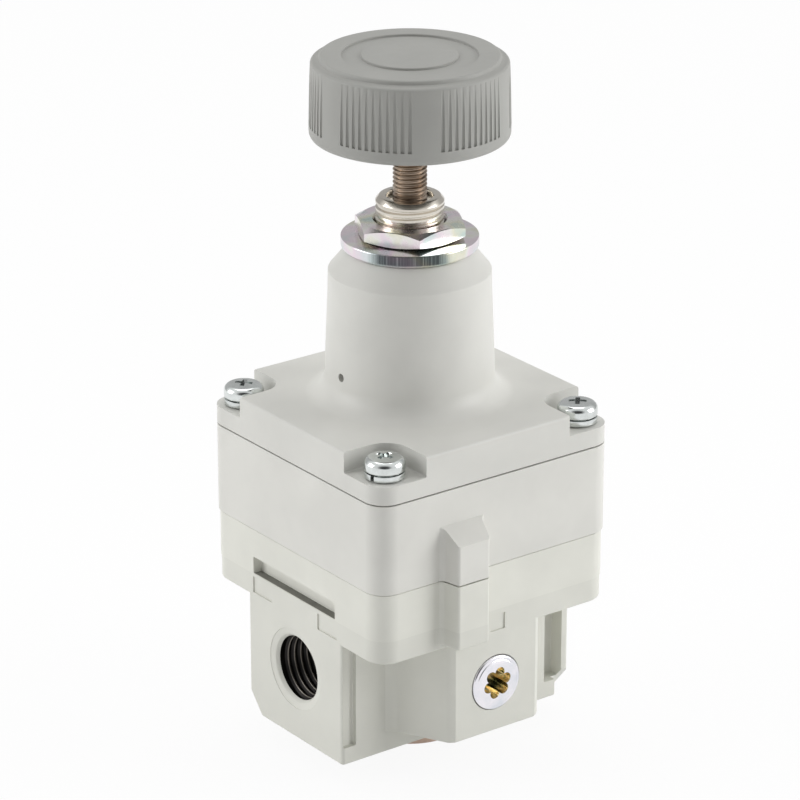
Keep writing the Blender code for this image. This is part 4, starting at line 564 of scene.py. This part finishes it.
# %% Drill the lower body
SCREW_PLACES = {"front_left": (-20.5, -20.5), "front_right": (20.5, -20.5), "back_right": (20.5, 20.5),
                "back_left": (-20.5, 20.5)}
PILOT_Y = -26.4
PILOT_RADIUS = 0.8
SCREW_HOLE = 2.2
MID_SCREW_HOLE = 2.23


def screw_drills(name, radius, bottom, top, sides=32):
    return [drill(name + corner, radius, (x, y, bottom), (x, y, top), sides)
            for corner, (x, y) in SCREW_PLACES.items()]


carved(lower, *screw_drills("tapped_", SCREW_HOLE, 29.35, 41))
carved(lower, drill("lower_pilot", PILOT_RADIUS, (BOSS_MIDDLE, PILOT_Y, 30.4),
                    (BOSS_MIDDLE, PILOT_Y, 41), 24))
even_shading(dress(lower, paint_lower, BODY, "casting_lower", "lower_body"))

# %% [markdown]
# ## The middle body
# The middle casting holds the rim of the main diaphragms, the pilot chamber and the partition with
# the nozzle. Its top half of the boss ends in a slope, like a small roof.

# %% Middle body
mid = plan_block("dressed_mid_body", square_plan(HALF, HALF, CORNER), MID_BOTTOM, MID_TOP + SHEET_LAP,
                 foot=0.12, brim=0.08, corner_steps=10)
mid_boss = plan_block("mid_boss", boss_plan(-HALF + 0.03), MID_BOTTOM + 0.05, 50.5)
roof = [(-30.0, 45.3), (-23.0, 50.75), (-23.0, 54.0), (-30.0, 54.0)]
work = bmesh.new()
pull(work, [(-20, y, z) for y, z in roof], (25, 0, 0))
carved(mid_boss, piece_from(work, "roof_cut"))
joined(mid, mid_boss)
stack_outline = [(0, 48.2), (17.0, 48.2), (17.0, 44.4), (19.9, 44.4), (19.9, 38.0), (0, 38.0)]
top_outline = [(0, 57.0), (17.5, 57.0), (17.5, 50.9), (0, 50.9)]
carved(mid, turned("stack_bore", stack_outline, 72), turned("top_cavity", top_outline, 72))
carved(mid, drill("nozzle_hole", 2.0, (0, 0, 47), (0, 0, 52), 32),
       drill("orifice_hole", 2.0, (0, -12, 47), (0, -12, 52), 32),
       drill("mid_pilot", PILOT_RADIUS, (BOSS_MIDDLE, PILOT_Y, 38), (BOSS_MIDDLE, PILOT_Y, 46.4), 24),
       drill("cross_pilot", PILOT_RADIUS, (BOSS_MIDDLE, PILOT_Y, 46.0), (BOSS_MIDDLE, -8.5, 46.0), 24))
carved(mid, *screw_drills("clear_", MID_SCREW_HOLE, 38, 57, 30))
even_shading(dress(mid, paint_mid, BODY, "casting_mid", "mid_body"))

# %% [markdown]
# ## The bonnet
# The bonnet is a square plate with a notch at each corner, so that the screw heads stand low, and a
# slightly tapered neck that grows out of the plate in a soft hollow curve. The curve is part of the
# turned outline: an arc from the plate's top up to the neck.

# %% Bonnet plate and neck
bonnet = plan_block("dressed_bonnet", square_plan(HALF, HALF, CORNER), BONNET_BOTTOM - SHEET_LAP, PLATE_TOP,
                    foot=0.08, brim=0.5, corner_steps=10)
neck_outline = [(0, BONNET_TOP), (10.9, BONNET_TOP), (11.05, BONNET_TOP - 0.12), (11.3, BONNET_TOP - 0.55)]
neck_outline += arc(13.45, 85.15, 0.5, 35, 5, 3)
neck_outline += [(14.0, 82.1), (14.35, 74.0)]
neck_outline += arc(18.6, 67.0, 4.0, 182, 262, 10)
neck_outline += [(21.5, PLATE_TOP - 0.02), (21.5, PLATE_TOP - 3), (0, PLATE_TOP - 3)]
neck = turned("neck", neck_outline, 144)
joined(bonnet, neck)
report(bonnet)

# %% [markdown]
# ### Notches
# A notch is a block with its inner corner rounded about the screw. Its floor lies below the plate's
# top, so that the screw's head stands low, and the foot of its walls is softly rounded.

# %% Cut the notches and the hollow
NOTCH_WALL = 15.2
NOTCH_FLOOR = 58.9
OUTSIDE = 27
for corner, (x, y) in SCREW_PLACES.items():
    sx = math.copysign(1, x)
    sy = math.copysign(1, y)
    plan = [(sx * NOTCH_WALL, sy * NOTCH_WALL, 4.4), (sx * OUTSIDE, sy * (NOTCH_WALL - 0.02), 0),
            (sx * OUTSIDE, sy * OUTSIDE, 0), (sx * (NOTCH_WALL - 0.02), sy * OUTSIDE, 0)]
    if sx * sy < 0:
        plan.reverse()
    notch = plan_block("notch_" + corner, plan, NOTCH_FLOOR, PLATE_TOP + 1, foot=0.3, corner_steps=8)
    carved(bonnet, notch)
hollow = turned("hollow", [(0, 90.5), (6.0, 90.5), (6.0, 86.0), (11.2, 86.0), (11.2, 64.05), (15.5, 60.55),
                           (15.5, 54.5), (0, 54.5)], 72)
carved(bonnet, hollow, drill("vent", 0.75, (-25, 0, 68.65), (-6, 0, 68.65), 32))
carved(bonnet, *screw_drills("bonnet_clear_", SCREW_HOLE, 54, 60))
even_shading(dress(bonnet, paint_bonnet, BODY, "casting_bonnet", "bonnet"))

# %% [markdown]
# ## Screw threads
# A thread is a small closed wedge that climbs as it turns. The spin operator can do this: its
# dvec moves every step a little along the axis. The two open ends are then filled. The ridge
# stands on a plain core, which is how the eye reads a real thread.

# %% Thread ridge
def ridge(name, root, crest, pitch, low, high, steps=32, base=0.94, land=0.06):
    work = bmesh.new()
    height = low + pitch / 2
    half = pitch * base / 2
    tip = pitch * land
    section = [(root, height - half), (crest, height - tip), (crest, height + tip), (root, height + half)]
    points = [work.verts.new((radius * MM, 0, z * MM)) for radius, z in section]
    lines = [work.edges.new((points[index - 1], points[index])) for index in range(4)]
    turns = (high - low) / pitch - 1
    count = int(turns * steps)
    bmesh.ops.spin(work, geom=points + lines, cent=(0, 0, 0), axis=(0, 0, 1), dvec=(0, 0, pitch * MM / steps),
                   angle=2 * math.pi * count / steps, steps=count, use_merge=False)
    open_edges = [edge for edge in work.edges if len(edge.link_faces) < 2]
    bmesh.ops.holes_fill(work, edges=open_edges, sides=6)
    return piece_from(work, name, 25)


def together(name, *pieces):
    work = bmesh.new()
    for part in pieces:
        work.from_mesh(part.data)
        bpy.data.objects.remove(part, do_unlink=True)
    return piece_from(work, name, 25)


# %% [markdown]
# ### Bare metal and painted shade in the ports
# The ports are tapped after painting, so their threads are bare: a thin lining that carries the turns. The
# lining also covers the light painted bore wall between the turns. Deep in the hole the colour is a painted
# shade of near black, with a painted highlight of dark brown-grey along every crest. The crests lie nearer
# the port's axis than the flanks, so the distance from that axis drives the colour.

# %% Port threads
def port_distance(tree, split, across):
    return distance(tree, split[across], maths(tree, "SUBTRACT", split["Z"], PORT_HEIGHT * MM))


def shaded_thread_metal():
    material, tree, place = start_finish("thread_metal_painted_shade")
    split = add(tree, "SeparateXYZ", {"Vector": place})
    height = between(tree, port_distance(tree, split, "Y"), 5.7, 6.3)
    # Painted highlight and shade: the crests get a lighter brown-grey, and the roots are near black.
    crest_light_and_root_shade = ramp(tree, height, [(0.05, (0.30, 0.275, 0.24)), (0.22, (0.022, 0.020, 0.019))])
    shine = spread(tree, noise(tree, place, 600), 0.34, 0.5)
    end_finish(tree, crest_light_and_root_shade, shine, 0.85, noise(tree, place, 1400), 0.15, 0.02)
    return material


thread_shade_finish = shaded_thread_metal()
for side, place in ((-1, "outlet"), (1, "inlet")):
    lining = turned("tapped_wall", [(6.18, 0.05), (6.18, 11.95), (6.3, 11.95), (6.3, 0.05)], 72, closed=True)
    turns = ridge("thread_turns", 6.32, 5.72, 1.337, 0, 11.72, steps=64, base=0.97)
    thread = together(place + "_port_thread", lining, turns)
    lie_along_x(thread, side, side * 11.6)
    dress(thread, thread_shade_finish, BODY, "casting_lower")

# %% [markdown]
# ## The knob
# The knob is one moulding: a low crown, a small shoulder, a side that tapers, and a hub inside that
# grips the screw. Sixty-six finger grooves stand in six groups, with smooth panels between them.
# Each cutter is a thin rod, a little slimmer at its top, and all of them are cut in one go.

# %% Turn the knob
KNOB_BOTTOM = 108.9
KNOB_RADIUS = 17.0
knob_outline = [(0, 14.25), (8.05, 14.25), (8.15, 14.15), (8.2, 13.85), (11.45, 13.85), (11.5, 14.15),
                (11.6, 14.25), (14.9, 14.25)]
knob_outline += arc(14.86, 13.85, 0.4, 80, 10, 4)
knob_outline += [(15.32, 13.55), (15.5, 13.42), (16.1, 13.3)]
knob_outline += arc(16.15, 12.75, 0.55, 85, 5, 4)
knob_outline += [(16.78, 11.0), (16.9, 7.0), (KNOB_RADIUS, 2.4)]
knob_outline += arc(15.9, 1.1, 1.1, 2, -90, 6)
knob_outline += [(14.2, 0), (14.0, 0.2), (14.0, 11.25), (6.2, 11.25), (6.2, 0.6), (4.6, 0.6), (4.6, 8.8),
                 (0, 8.8)]
knob = turned("dressed_knob", [(radius, height + KNOB_BOTTOM) for radius, height in knob_outline], 180)
report(knob)

# %% Cut the finger grooves
GROOVE_LOW = KNOB_BOTTOM + 2.35
GROOVE_HIGH = KNOB_BOTTOM + 13.6
GROOVE_MIDDLE = (GROOVE_LOW + GROOVE_HIGH) / 2 * MM
GROOVE_STEP_DEG = 4.14
FIRST_GROUP_DEG = 32.5
work = bmesh.new()
for group in range(6):
    for place in range(11):
        angle = math.radians(FIRST_GROUP_DEG + 60 * group + (place - 5) * GROOVE_STEP_DEG)
        radius = KNOB_RADIUS * MM
        spot = Vector((radius * math.cos(angle), radius * math.sin(angle), GROOVE_MIDDLE))
        bmesh.ops.create_cone(work, cap_ends=True, segments=10, radius1=0.36 * MM, radius2=0.34 * MM,
                              depth=(GROOVE_HIGH - GROOVE_LOW) * MM, matrix=Matrix.Translation(spot))
rods = bpy.data.meshes.new("finger_grooves")
work.to_mesh(rods)
work.free()
report(carved(knob, placed("finger_grooves", rods)))

# %% [markdown]
# ### Moulded plastic
# The knob's plastic is a mid grey with a fine spark-eroded texture. It is duller than the paint, so
# its highlights are wide and soft.

# %% Knob finish
knob_plastic = plain_finish("grey_moulded_plastic", (0.345, 0.345, 0.325), 0.52, cloud_scale=140,
                            contrast=0.025, grain_scale=2600, grain=0.18, grain_depth=0.03)
even_shading(dress(knob, knob_plastic, "hand_screw", "grey_plastic", "knob"))

# %% [markdown]
# ## The adjusting screw
# The screw is a fine thread in a brown bronze tone. Its colour comes from bands of noise squeezed
# along the axis, because a turned rod is marked round and round by the tool.

# %% Adjusting screw
def banded_metal(name, dark, light, gloss, squeeze, scale=700):
    material, tree, place = start_finish(name)
    flat = add(tree, "Mapping", {"Vector": place, "Scale": (0.25, 0.25, squeeze)})["Vector"]
    bands = noise(tree, flat, scale, 4)
    shine = spread(tree, noise(tree, place, 500), gloss * 0.8, gloss * 1.3)
    end_finish(tree, ramp(tree, bands, [(0.34, dark), (0.66, light)]), shine, 1.0, bands, 0.12, 0.02)
    return material


bronze = banded_metal("bronze_screw_metal", (0.24, 0.175, 0.125), (0.52, 0.43, 0.35), 0.34, 3.0)
stem_core = turned("stem_core", [(0, 117.5), (2.3, 117.5), (2.62, 117.1), (2.62, 85.7), (2.3, 85.05),
                                 (0, 85.05)], 40)
stem_ridge = ridge("stem_ridge", 2.58, 2.93, 0.75, 85.9, 117.3, steps=28)
dress(together("dressed_stem", stem_core, stem_ridge), bronze, "hand_screw", "bronze", "adjusting_stem")

# %% [markdown]
# ## The bushing
# The bushing is nickel plated, with a coarser thread for the panel nut. Nickel is a warm silver, and
# its gloss is high, so it mirrors the bright room and the dark gap under the knob. The bushing ends
# in a small turned lip, and the thread stops just below it.

# %% Bushing
nickel = banded_metal("nickel_plate_metal", (0.56, 0.52, 0.46), (0.74, 0.70, 0.63), 0.17, 1.5, 220)
BUSHING_TOP = 98.5
bushing_core = turned("bushing_core", [
    (5.05, BUSHING_TOP), (5.25, BUSHING_TOP - 0.08), (5.75, BUSHING_TOP - 0.62), (5.86, BUSHING_TOP - 0.82),
    (5.86, 97.32), (5.5, 97.1), (5.5, 85.8), (9.0, 85.8), (9.0, 84.0), (3.1, 84.0), (3.1, 96.9), (4.0, 97.4),
    (4.0, BUSHING_TOP - 0.15), (4.15, BUSHING_TOP)], 96, closed=True)
bushing_ridge = ridge("bushing_ridge", 5.44, 5.86, 1.0, 88.36, 97.5, steps=60, land=0.2)
dress(together("dressed_bushing", bushing_core, bushing_ridge), nickel, BODY, "nickel_plate", "screw_bushing")

# %% [markdown]
# ## Panel nut and washer
# Both are zinc plated with a thin clear chromate, which shows soft rainbow patches of straw, lilac and
# blue-green. A wide noise runs through a colour ramp with these tints. The washer is punched from sheet, so
# its edge has short upright tear marks: the angle about the axis drives that noise. Their darkness is also a
# painted reflection: a power of a cosine of the same angle holds them to the side that faces the camera,
# where the edge mirrors the dark studio, and the distance from the axis holds them to the edge. The nut's
# hexagon is made taller than the turned shape that trims it, because an intersection can lose two flat faces
# that lie in one plane.

# %% Chromated zinc
# Painted reflection: the angle of the camera's side, where the washer's edge is darkened as if it mirrored
# the dark studio.
DARK_REFLECTION_SIDE = math.radians(-127)


def torn_edge_and_painted_reflection(tree, place, tints):
    split = add(tree, "SeparateXYZ", {"Vector": place})
    angle = maths(tree, "ARCTAN2", split["Y"], split["X"])
    tears = noise(tree, add(tree, "CombineXYZ", {"X": angle})["Vector"], 34, 4, 0.7)
    # Painted reflection: this lobe holds the dark marks to the camera's side.
    reflection_lobe = maths(tree, "COSINE", maths(tree, "SUBTRACT", angle, DARK_REFLECTION_SIDE))
    side = spread(tree, maths(tree, "POWER", reflection_lobe, 4.0), 0.0, 1.0)
    torn = maths(tree, "MULTIPLY", tears, side)
    dark = ramp(tree, torn, [(0.12, (1, 1, 1)), (0.5, (0.12, 0.12, 0.13))])
    edge = between(tree, distance(tree, split["X"], split["Y"]), 11.66, 11.75)
    return mixed(tree, edge, tints, dark, "MULTIPLY")


def chromate(name, gloss, scale, torn=False):
    material, tree, place = start_finish(name)
    colour = ramp(tree, noise(tree, place, scale, 2), [
        (0.30, (0.56, 0.66, 0.62)), (0.42, (0.76, 0.75, 0.62)), (0.50, (0.80, 0.79, 0.76)),
        (0.58, (0.80, 0.70, 0.76)), (0.72, (0.62, 0.70, 0.70))])
    if torn:
        colour = torn_edge_and_painted_reflection(tree, place, colour)
    shine = spread(tree, noise(tree, place, 260), gloss * 0.8, gloss * 1.3)
    end_finish(tree, colour, shine, 1.0, noise(tree, place, 1200), 0.05, 0.02)
    return material


# %% Washer
WASHER_TOP = 91.5
washer_outline = [(6.0, 89.3)] + arc(11.07, 90.0, 0.7, -90, 0, 7)
washer_outline += arc(11.55, WASHER_TOP - 0.22, 0.22, 0, 90, 4)
washer_outline += [(6.1, WASHER_TOP), (6.0, WASHER_TOP - 0.1)]
washer = turned("dressed_panel_washer", washer_outline, 144, closed=True)
washer_zinc = chromate("chromated_washer", 0.22, 130, torn=True)
even_shading(dress(washer, washer_zinc, BODY, "chromate_zinc", "panel_washer"))

# %% Nut
NUT_BOTTOM = 91.7
NUT_TOP = 94.4
NUT_CORNERS = [math.radians(3 + 60 * index) for index in range(6)]
hexagon = [(10 * math.cos(angle), 10 * math.sin(angle), 0) for angle in NUT_CORNERS]
nut = plan_block("dressed_panel_nut", hexagon, NUT_BOTTOM - 0.5, NUT_TOP + 0.5)
nut_rounding = turned("nut_rounding", [
    (0, NUT_TOP), (8.5, NUT_TOP), (8.75, NUT_TOP - 0.12), (10.6, NUT_TOP - 1.15), (10.6, NUT_BOTTOM + 0.75),
    (8.8, NUT_BOTTOM + 0.1), (8.6, NUT_BOTTOM), (0, NUT_BOTTOM)], 144)
settle(nut, [nut_rounding], "INTERSECT", 20)
nut_hole = turned("nut_hole", [
    (0, NUT_TOP + 1.2), (7.2, NUT_TOP + 1.2), (6.0, NUT_TOP - 0.6), (6.0, NUT_BOTTOM + 0.6),
    (7.2, NUT_BOTTOM - 1.2), (0, NUT_BOTTOM - 1.2)], 72)
settle(nut, [nut_hole], "DIFFERENCE", 20)
even_shading(dress(nut, chromate("chromated_nut", 0.24, 190), BODY, "chromate_zinc", "panel_nut"))

# %% [markdown]
# ## Body screws
# The screws have round heads with a cross recess. Under each head sits a split spring washer. One
# screw and one washer are modelled, and all four corners get copies of their meshes, moved and
# turned in the mesh itself so that each object still sits at the origin.

# %% Bright zinc
bright_zinc = plain_finish("bright_zinc_metal", (0.70, 0.73, 0.72), 0.16, metallic=1.0, cloud_scale=500,
                           contrast=0.08, grain_scale=1800, grain=0.05)

# %% Model one screw and its washer
SCREW_TOP = 2.5


def cross_arm(name, turn_deg):
    work = bmesh.new()
    bmesh.ops.create_cube(work, size=1)
    bmesh.ops.scale(work, vec=(4.1 * MM, 0.95 * MM, 2.4 * MM), verts=work.verts)
    foot = [vert for vert in work.verts if vert.co.z < 0]
    bmesh.ops.scale(work, vec=(0.35, 0.6, 1), verts=foot)
    bmesh.ops.rotate(work, cent=(0, 0, 0), matrix=Matrix.Rotation(math.radians(turn_deg), 3, "Z"),
                     verts=work.verts)
    bmesh.ops.translate(work, vec=(0, 0, (SCREW_TOP - 0.35) * MM), verts=work.verts)
    return piece_from(work, name)


screw_outline = [(0, SCREW_TOP), (1.2, 2.46), (2.2, 2.3)] + arc(2.35, 1.15, 1.13, 78, 0, 8)
screw_outline += arc(3.2, 0.3, 0.28, 0, -90, 3) + [(1.8, 0), (1.8, -29.7), (1.5, -30.0), (0, -30.0)]
screw_model = turned("screw_model", screw_outline, 64)
settle(screw_model, [cross_arm("first_arm", 0), cross_arm("second_arm", 90)], "DIFFERENCE", 30)
washer_model = turned("washer_model", [(2.05, 0.08), (3.3, 0.0), (3.42, 0.12), (3.42, 0.86), (3.3, 0.98),
                                       (2.05, 0.92)], 64, closed=True)
settle(washer_model, [box_cutter("split", (1, -0.35, -1), (5, 0.35, 2))], "DIFFERENCE", 30)

# %% Place all four screws
HEAD_BOTTOM = 60.3
SPLIT_WASHER_BOTTOM = 59.1


def copy_of(model, name, place, turn):
    mesh = model.data.copy()
    mesh.transform(Matrix.Translation(metres(place)) @ turn)
    return placed(name, mesh)


for corner, (x, y) in SCREW_PLACES.items():
    turn = Matrix.Rotation(math.radians(x * 3 + y * 5), 4, "Z")
    screw = copy_of(screw_model, "dressed_screw_" + corner, (x, y, HEAD_BOTTOM), turn)
    dress(screw, bright_zinc, BODY, "bright_zinc", "body_screw_" + corner)
    split_washer = copy_of(washer_model, "dressed_spring_washer_" + corner, (x, y, SPLIT_WASHER_BOTTOM), turn)
    dress(split_washer, bright_zinc, BODY, "bright_zinc", "spring_washer_" + corner)
bpy.data.objects.remove(screw_model, do_unlink=True)
bpy.data.objects.remove(washer_model, do_unlink=True)

# %% [markdown]
# ## Gauge plugs
# The plugs close the gauge ports. Their sockets have six lobes. Inside the socket the colour is a darker gold
# tint, which a noise breaks into near-black painted shade and light painted highlights on its facets. The
# finish changes with the depth and with the distance from the plug's axis, so one material covers it all.

# %% Plug finish
def plug_metal():
    material, tree, place = start_finish("plug_plating")
    split = add(tree, "SeparateXYZ", {"Vector": place})
    depth = between(tree, maths(tree, "ABSOLUTE", split["Y"]), 25.0, 24.75)
    inside = maths(tree, "MULTIPLY", depth, between(tree, port_distance(tree, split, "X"), 3.1, 3.0))
    bright = ramp(tree, noise(tree, place, 260), [(0.35, (0.72, 0.74, 0.79)), (0.65, (0.86, 0.84, 0.88))])
    # Inside the socket: a gold tint with painted shade in the near-black stop and a painted highlight in the
    # lightest stop.
    socket_tint_shade_and_highlight = ramp(tree, noise(tree, place, 520), [
        (0.34, (0.06, 0.07, 0.06)), (0.42, (0.42, 0.41, 0.22)), (0.52, (0.72, 0.55, 0.33)),
        (0.62, (0.82, 0.80, 0.60))])
    shine = spread(tree, noise(tree, place, 400), 0.14, 0.26)
    end_finish(tree, mixed(tree, inside, bright, socket_tint_shade_and_highlight), shine, 1.0, noise(tree, place, 900), 0.08, 0.03)
    return material


plug_plating = plug_metal()

# %% Model one plug
PLUG_TOP = 1.1
lobes = []
for index in range(120):
    angle = 2 * math.pi * index / 120
    radius = 2.0 + 0.9 * abs(math.cos(3 * angle)) ** 0.75
    lobes.append((radius * math.cos(angle), radius * math.sin(angle), 0))
plug_outline = [(0, PLUG_TOP), (4.05, PLUG_TOP), (4.2, 1.04), (4.3, 0.96), (4.42, 0.96)]
plug_outline += arc(4.6, 0.56, 0.4, 80, 0, 5)
plug_outline += [(5.0, 0.1), (4.9, 0), (3.45, 0), (3.45, -1.0)]
plug_outline += [(4.3, -1.0), (4.3, -6.7), (4.0, -7.0), (0, -7.0)]
plug_model = turned("plug_model", plug_outline, 96)
settle(plug_model, [plan_block("lobed_socket", lobes, PLUG_TOP - 3.4, PLUG_TOP + 1)], "DIFFERENCE", 30)

# %% Place both plugs
PLUG_PLACE = 24.1
for side, place in ((-1, "front"), (1, "back")):
    turn = Matrix.Rotation(math.radians(-90 * side), 4, "X") @ Matrix.Rotation(math.radians(14), 4, "Z")
    plug = copy_of(plug_model, "dressed_gauge_plug_" + place, (0, side * PLUG_PLACE, PORT_HEIGHT), turn)
    even_shading(dress(plug, plug_plating, BODY, "bright_zinc", "gauge_plug_" + place))
bpy.data.objects.remove(plug_model, do_unlink=True)

# %% [markdown]
# ## The valve guide
# The guide screws in from below, and the regulator stands on its flange. Only a sliver of its tan
# plastic shows from the side, but from below it is seen whole, with its two spanner holes.

# %% Valve guide
tan_plastic = plain_finish("tan_moulded_plastic", (0.80, 0.60, 0.49), 0.45, cloud_scale=160, contrast=0.04)
guide_outline = [(0, 5.2), (2.4, 5.2), (2.4, 10.1), (3.3, 10.1), (3.3, 5.2), (6.2, 5.2), (6.2, 10.3),
                 (8.1, 10.3), (8.3, 10.1), (8.3, 8.25), (7.0, 8.25), (7.0, 6.75), (8.3, 6.75), (8.3, 3.7)]
guide_outline += arc(9.7, 3.4, 0.3, 90, 0, 3) + arc(9.4, 0.6, 0.6, 0, -90, 5) + [(0, 0)]
guide = turned("dressed_valve_guide", guide_outline, 96)
carved(guide, drill("left_spanner", 1.0, (-6.5, 0, -1), (-6.5, 0, 1.6), 32),
       drill("right_spanner", 1.0, (6.5, 0, -1), (6.5, 0, 1.6), 32))
even_shading(dress(guide, tan_plastic, BODY, "tan_plastic", "valve_guide"))

# %% [markdown]
# ## Springs
# A spring is a curve with a round bevel, wound as points: closed turns at both ends and open turns between.
# It is made a mesh before it is dressed.

# %% Wind the springs
POINTS_PER_TURN = 28


def coil(name, radius, wire, bottom, length, turns):
    curve = bpy.data.curves.new(name, "CURVE")
    curve.dimensions = "3D"
    curve.bevel_depth = wire * MM
    curve.bevel_resolution = 3
    curve.use_fill_caps = True
    line = curve.splines.new("POLY")
    line.points.add((turns + 2) * POINTS_PER_TURN)
    end_rise = 2 * wire + 0.2
    open_rise = (length - 2 * end_rise - 2 * wire) / turns
    for index, point in enumerate(line.points):
        turn = index / POINTS_PER_TURN
        rise = (min(turn, 1) * end_rise + max(0, min(turn - 1, turns)) * open_rise
                + max(0, turn - 1 - turns) * end_rise)
        angle = 2 * math.pi * turn
        place = Vector((radius * math.cos(angle), radius * math.sin(angle), bottom + wire + rise)) * MM
        point.co = (*place, 1)
    carrier = placed(name + "_line", curve)
    bpy.context.view_layer.update()
    mesh = bpy.data.meshes.new_from_object(carrier.evaluated_get(bpy.context.evaluated_depsgraph_get()))
    bpy.data.objects.remove(carrier, do_unlink=True)
    work = bmesh.new()
    work.from_mesh(mesh)
    return piece_from(work, name, 50)


spring_steel = banded_metal("spring_wire_steel", (0.42, 0.42, 0.42), (0.60, 0.60, 0.58), 0.25, 1.0, 300)
set_spring = coil("dressed_set_spring", 7.7, 0.88, 57.77, 21.55, 6)
dress(set_spring, spring_steel, BODY, "spring_steel", "set_spring")
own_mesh(set_spring)
valve_spring = coil("dressed_valve_spring", 4.8, 0.39, 5.42, 6.75, 3)
dress(valve_spring, spring_steel, BODY, "spring_steel", "valve_spring")
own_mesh(valve_spring)

# %% [markdown]
# ## Diaphragms
# The two main diaphragms are thin moulded rubber with one roll, which lets the middle move while the
# rim stays clamped. The roll follows half a sine wave, finer than in the solid.

# %% Main diaphragms
ROLL_OUTSIDE = 15.3
ROLL_WIDTH = 3.9
RUBBER_THICKNESS = 0.6
black_rubber = plain_finish("black_moulded_rubber", (0.035, 0.035, 0.035), 0.68, cloud_scale=300,
                            contrast=0.1, grain=0.2)


def diaphragm(name, level, roll):
    under = [(19.7, level), (ROLL_OUTSIDE, level)]
    for step in range(1, 12):
        share = step / 12
        under.append((ROLL_OUTSIDE - ROLL_WIDTH * share, level + roll * math.sin(math.pi * share)))
    under += [(11.4, level), (2.4, level)]
    upper = [(radius, height + RUBBER_THICKNESS) for radius, height in reversed(under)]
    return turned(name, under + upper, 96, closed=True)


lower_diaphragm = diaphragm("dressed_lower_diaphragm", 38.8, -1.1)
dress(lower_diaphragm, black_rubber, BODY, "black_rubber", "lower_diaphragm")
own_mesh(lower_diaphragm)
upper_diaphragm = diaphragm("dressed_upper_diaphragm", 43.6, 1.1)
dress(upper_diaphragm, black_rubber, BODY, "black_rubber", "upper_diaphragm")
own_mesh(upper_diaphragm)

# %% [markdown]
# ## The pieces that stay as solids
# The small inner pieces are already right as solids, so they only take a finish. The edge of the
# flapper diaphragm is the fine dark line between the middle body and the bonnet.

# %% Finish the inner solids
brass = banded_metal("machined_brass", (0.62, 0.44, 0.20), (0.80, 0.62, 0.34), 0.28, 2.0, 400)
pressed_steel = plain_finish("pressed_sheet_steel", (0.58, 0.58, 0.56), 0.32, metallic=1.0, cloud_scale=220)
aluminium = banded_metal("machined_aluminium", (0.66, 0.66, 0.66), (0.80, 0.80, 0.80), 0.30, 1.2, 350)
INNER = [
    (brass, "valve_poppet pilot_nozzle fixed_orifice knob_insert"),
    (black_rubber, "valve_face_seal guide_o_ring gauge_seal_front gauge_seal_back flapper_diaphragm"),
    (pressed_steel, "lower_diaphragm_plate upper_diaphragm_plate flapper_plate"),
    (aluminium, "relief_spindle diaphragm_hub diaphragm_spacer lower_spring_seat upper_spring_seat"),
    (bright_zinc, "diaphragm_nut thrust_ball"),
]
for material, names in INNER:
    for node in names.split():
        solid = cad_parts[node]
        solid.data.materials.clear()
        solid.data.materials.append(material)
    print(material.name, "on:", names)

# %% [markdown]
# ## Floor, world and lamps
# The regulator stands on a plain white floor in a white room. The floor glows for the camera and
# still catches the soft shadow. The world is white to the camera but dimmer as a light, so that the
# colours come out as written, and dimmer still on the camera's side, where a studio is unlit.
# Mirrored rays see a ramp of their own: bright at the sides, half as bright behind the object and
# nearly black at the camera, which gives bare metal its dark reflections. Two softboxes stand far
# out to the left and right, and a weak one hangs above.

# %% Floor
work = bmesh.new()
bmesh.ops.create_grid(work, x_segments=1, y_segments=1, size=3)
floor = piece_from(work, "studio_floor")
floor_white = bpy.data.materials.new("studio_floor_white")
floor_white.use_nodes = True
tree = floor_white.node_tree
tree.nodes.remove(tree.nodes["Principled BSDF"])
matt = add(tree, "BsdfDiffuse", {"Color": (0.86, 0.86, 0.86, 1)})["BSDF"]
glow = add(tree, "Emission", {"Strength": 1.0})["Emission"]
path = add(tree, "LightPath")
seen = maths(tree, "MAXIMUM", path["Is Camera Ray"], path["Is Glossy Ray"])
share = maths(tree, "MULTIPLY", seen, 0.92)
blend = add(tree, "MixShader", {"Fac": share, 1: matt, 2: glow})["Shader"]
tree.links.new(blend, tree.nodes["Material Output"].inputs["Surface"])
floor.data.materials.append(floor_white)
print("floor:", floor.name, "with", floor_white.name)

# %% World
world = bpy.data.worlds.new("white_room")
scene.world = world
world.use_nodes = True
tree = world.node_tree
room = tree.nodes["Background"]
room.inputs["Color"].default_value = (1, 1, 1, 1)
camera_side = (CAMERA_PLACE - CAMERA_AIM).normalized()
way = add(tree, "TexCoord")["Generated"]
towards = add(tree, "VectorMath", {0: way, 1: camera_side}, "DOT_PRODUCT")["Value"]
side_light = remap(tree, towards, 0.0, 0.85, 0.92, 0.32)
side_light.node.interpolation_type = "SMOOTHSTEP"
mirrored = ramp(tree, remap(tree, towards, -1.0, 1.0), [
    (0.0, (0.5,) * 3), (0.3, (0.5,) * 3), (0.45, (0.92,) * 3), (0.88, (0.85,) * 3), (0.97, (0.07,) * 3)])
path = add(tree, "LightPath")
lit = add(tree, "Mix", {0: path["Is Glossy Ray"], 2: side_light, 3: mirrored})[0]
seen = maths(tree, "MAXIMUM", path["Is Camera Ray"], path["Is Transmission Ray"])
tree.links.new(maths(tree, "MAXIMUM", seen, lit), room.inputs["Strength"])
print("world:", world.name)

# %% Lamps
def lamp(name, place, aim, size, power):
    data = bpy.data.lights.new(name, "AREA")
    data.shape = "RECTANGLE"
    data.size = size[0]
    data.size_y = size[1]
    data.energy = power
    print("lamp:", pointed(placed(name, data), place, aim).name)


lamp("left_softbox", (-0.72, 0.42, 0.34), (0, 0, 0.05), (0.5, 0.6), 2.7)
lamp("right_softbox", (0.62, -0.58, 0.30), (0, 0, 0.05), (0.5, 0.6), 3.8)
lamp("top_softbox", (0.10, 0.20, 0.85), (0, 0, 0.05), (0.6, 0.4), 1.2)
scene.view_settings.view_transform = "Standard"
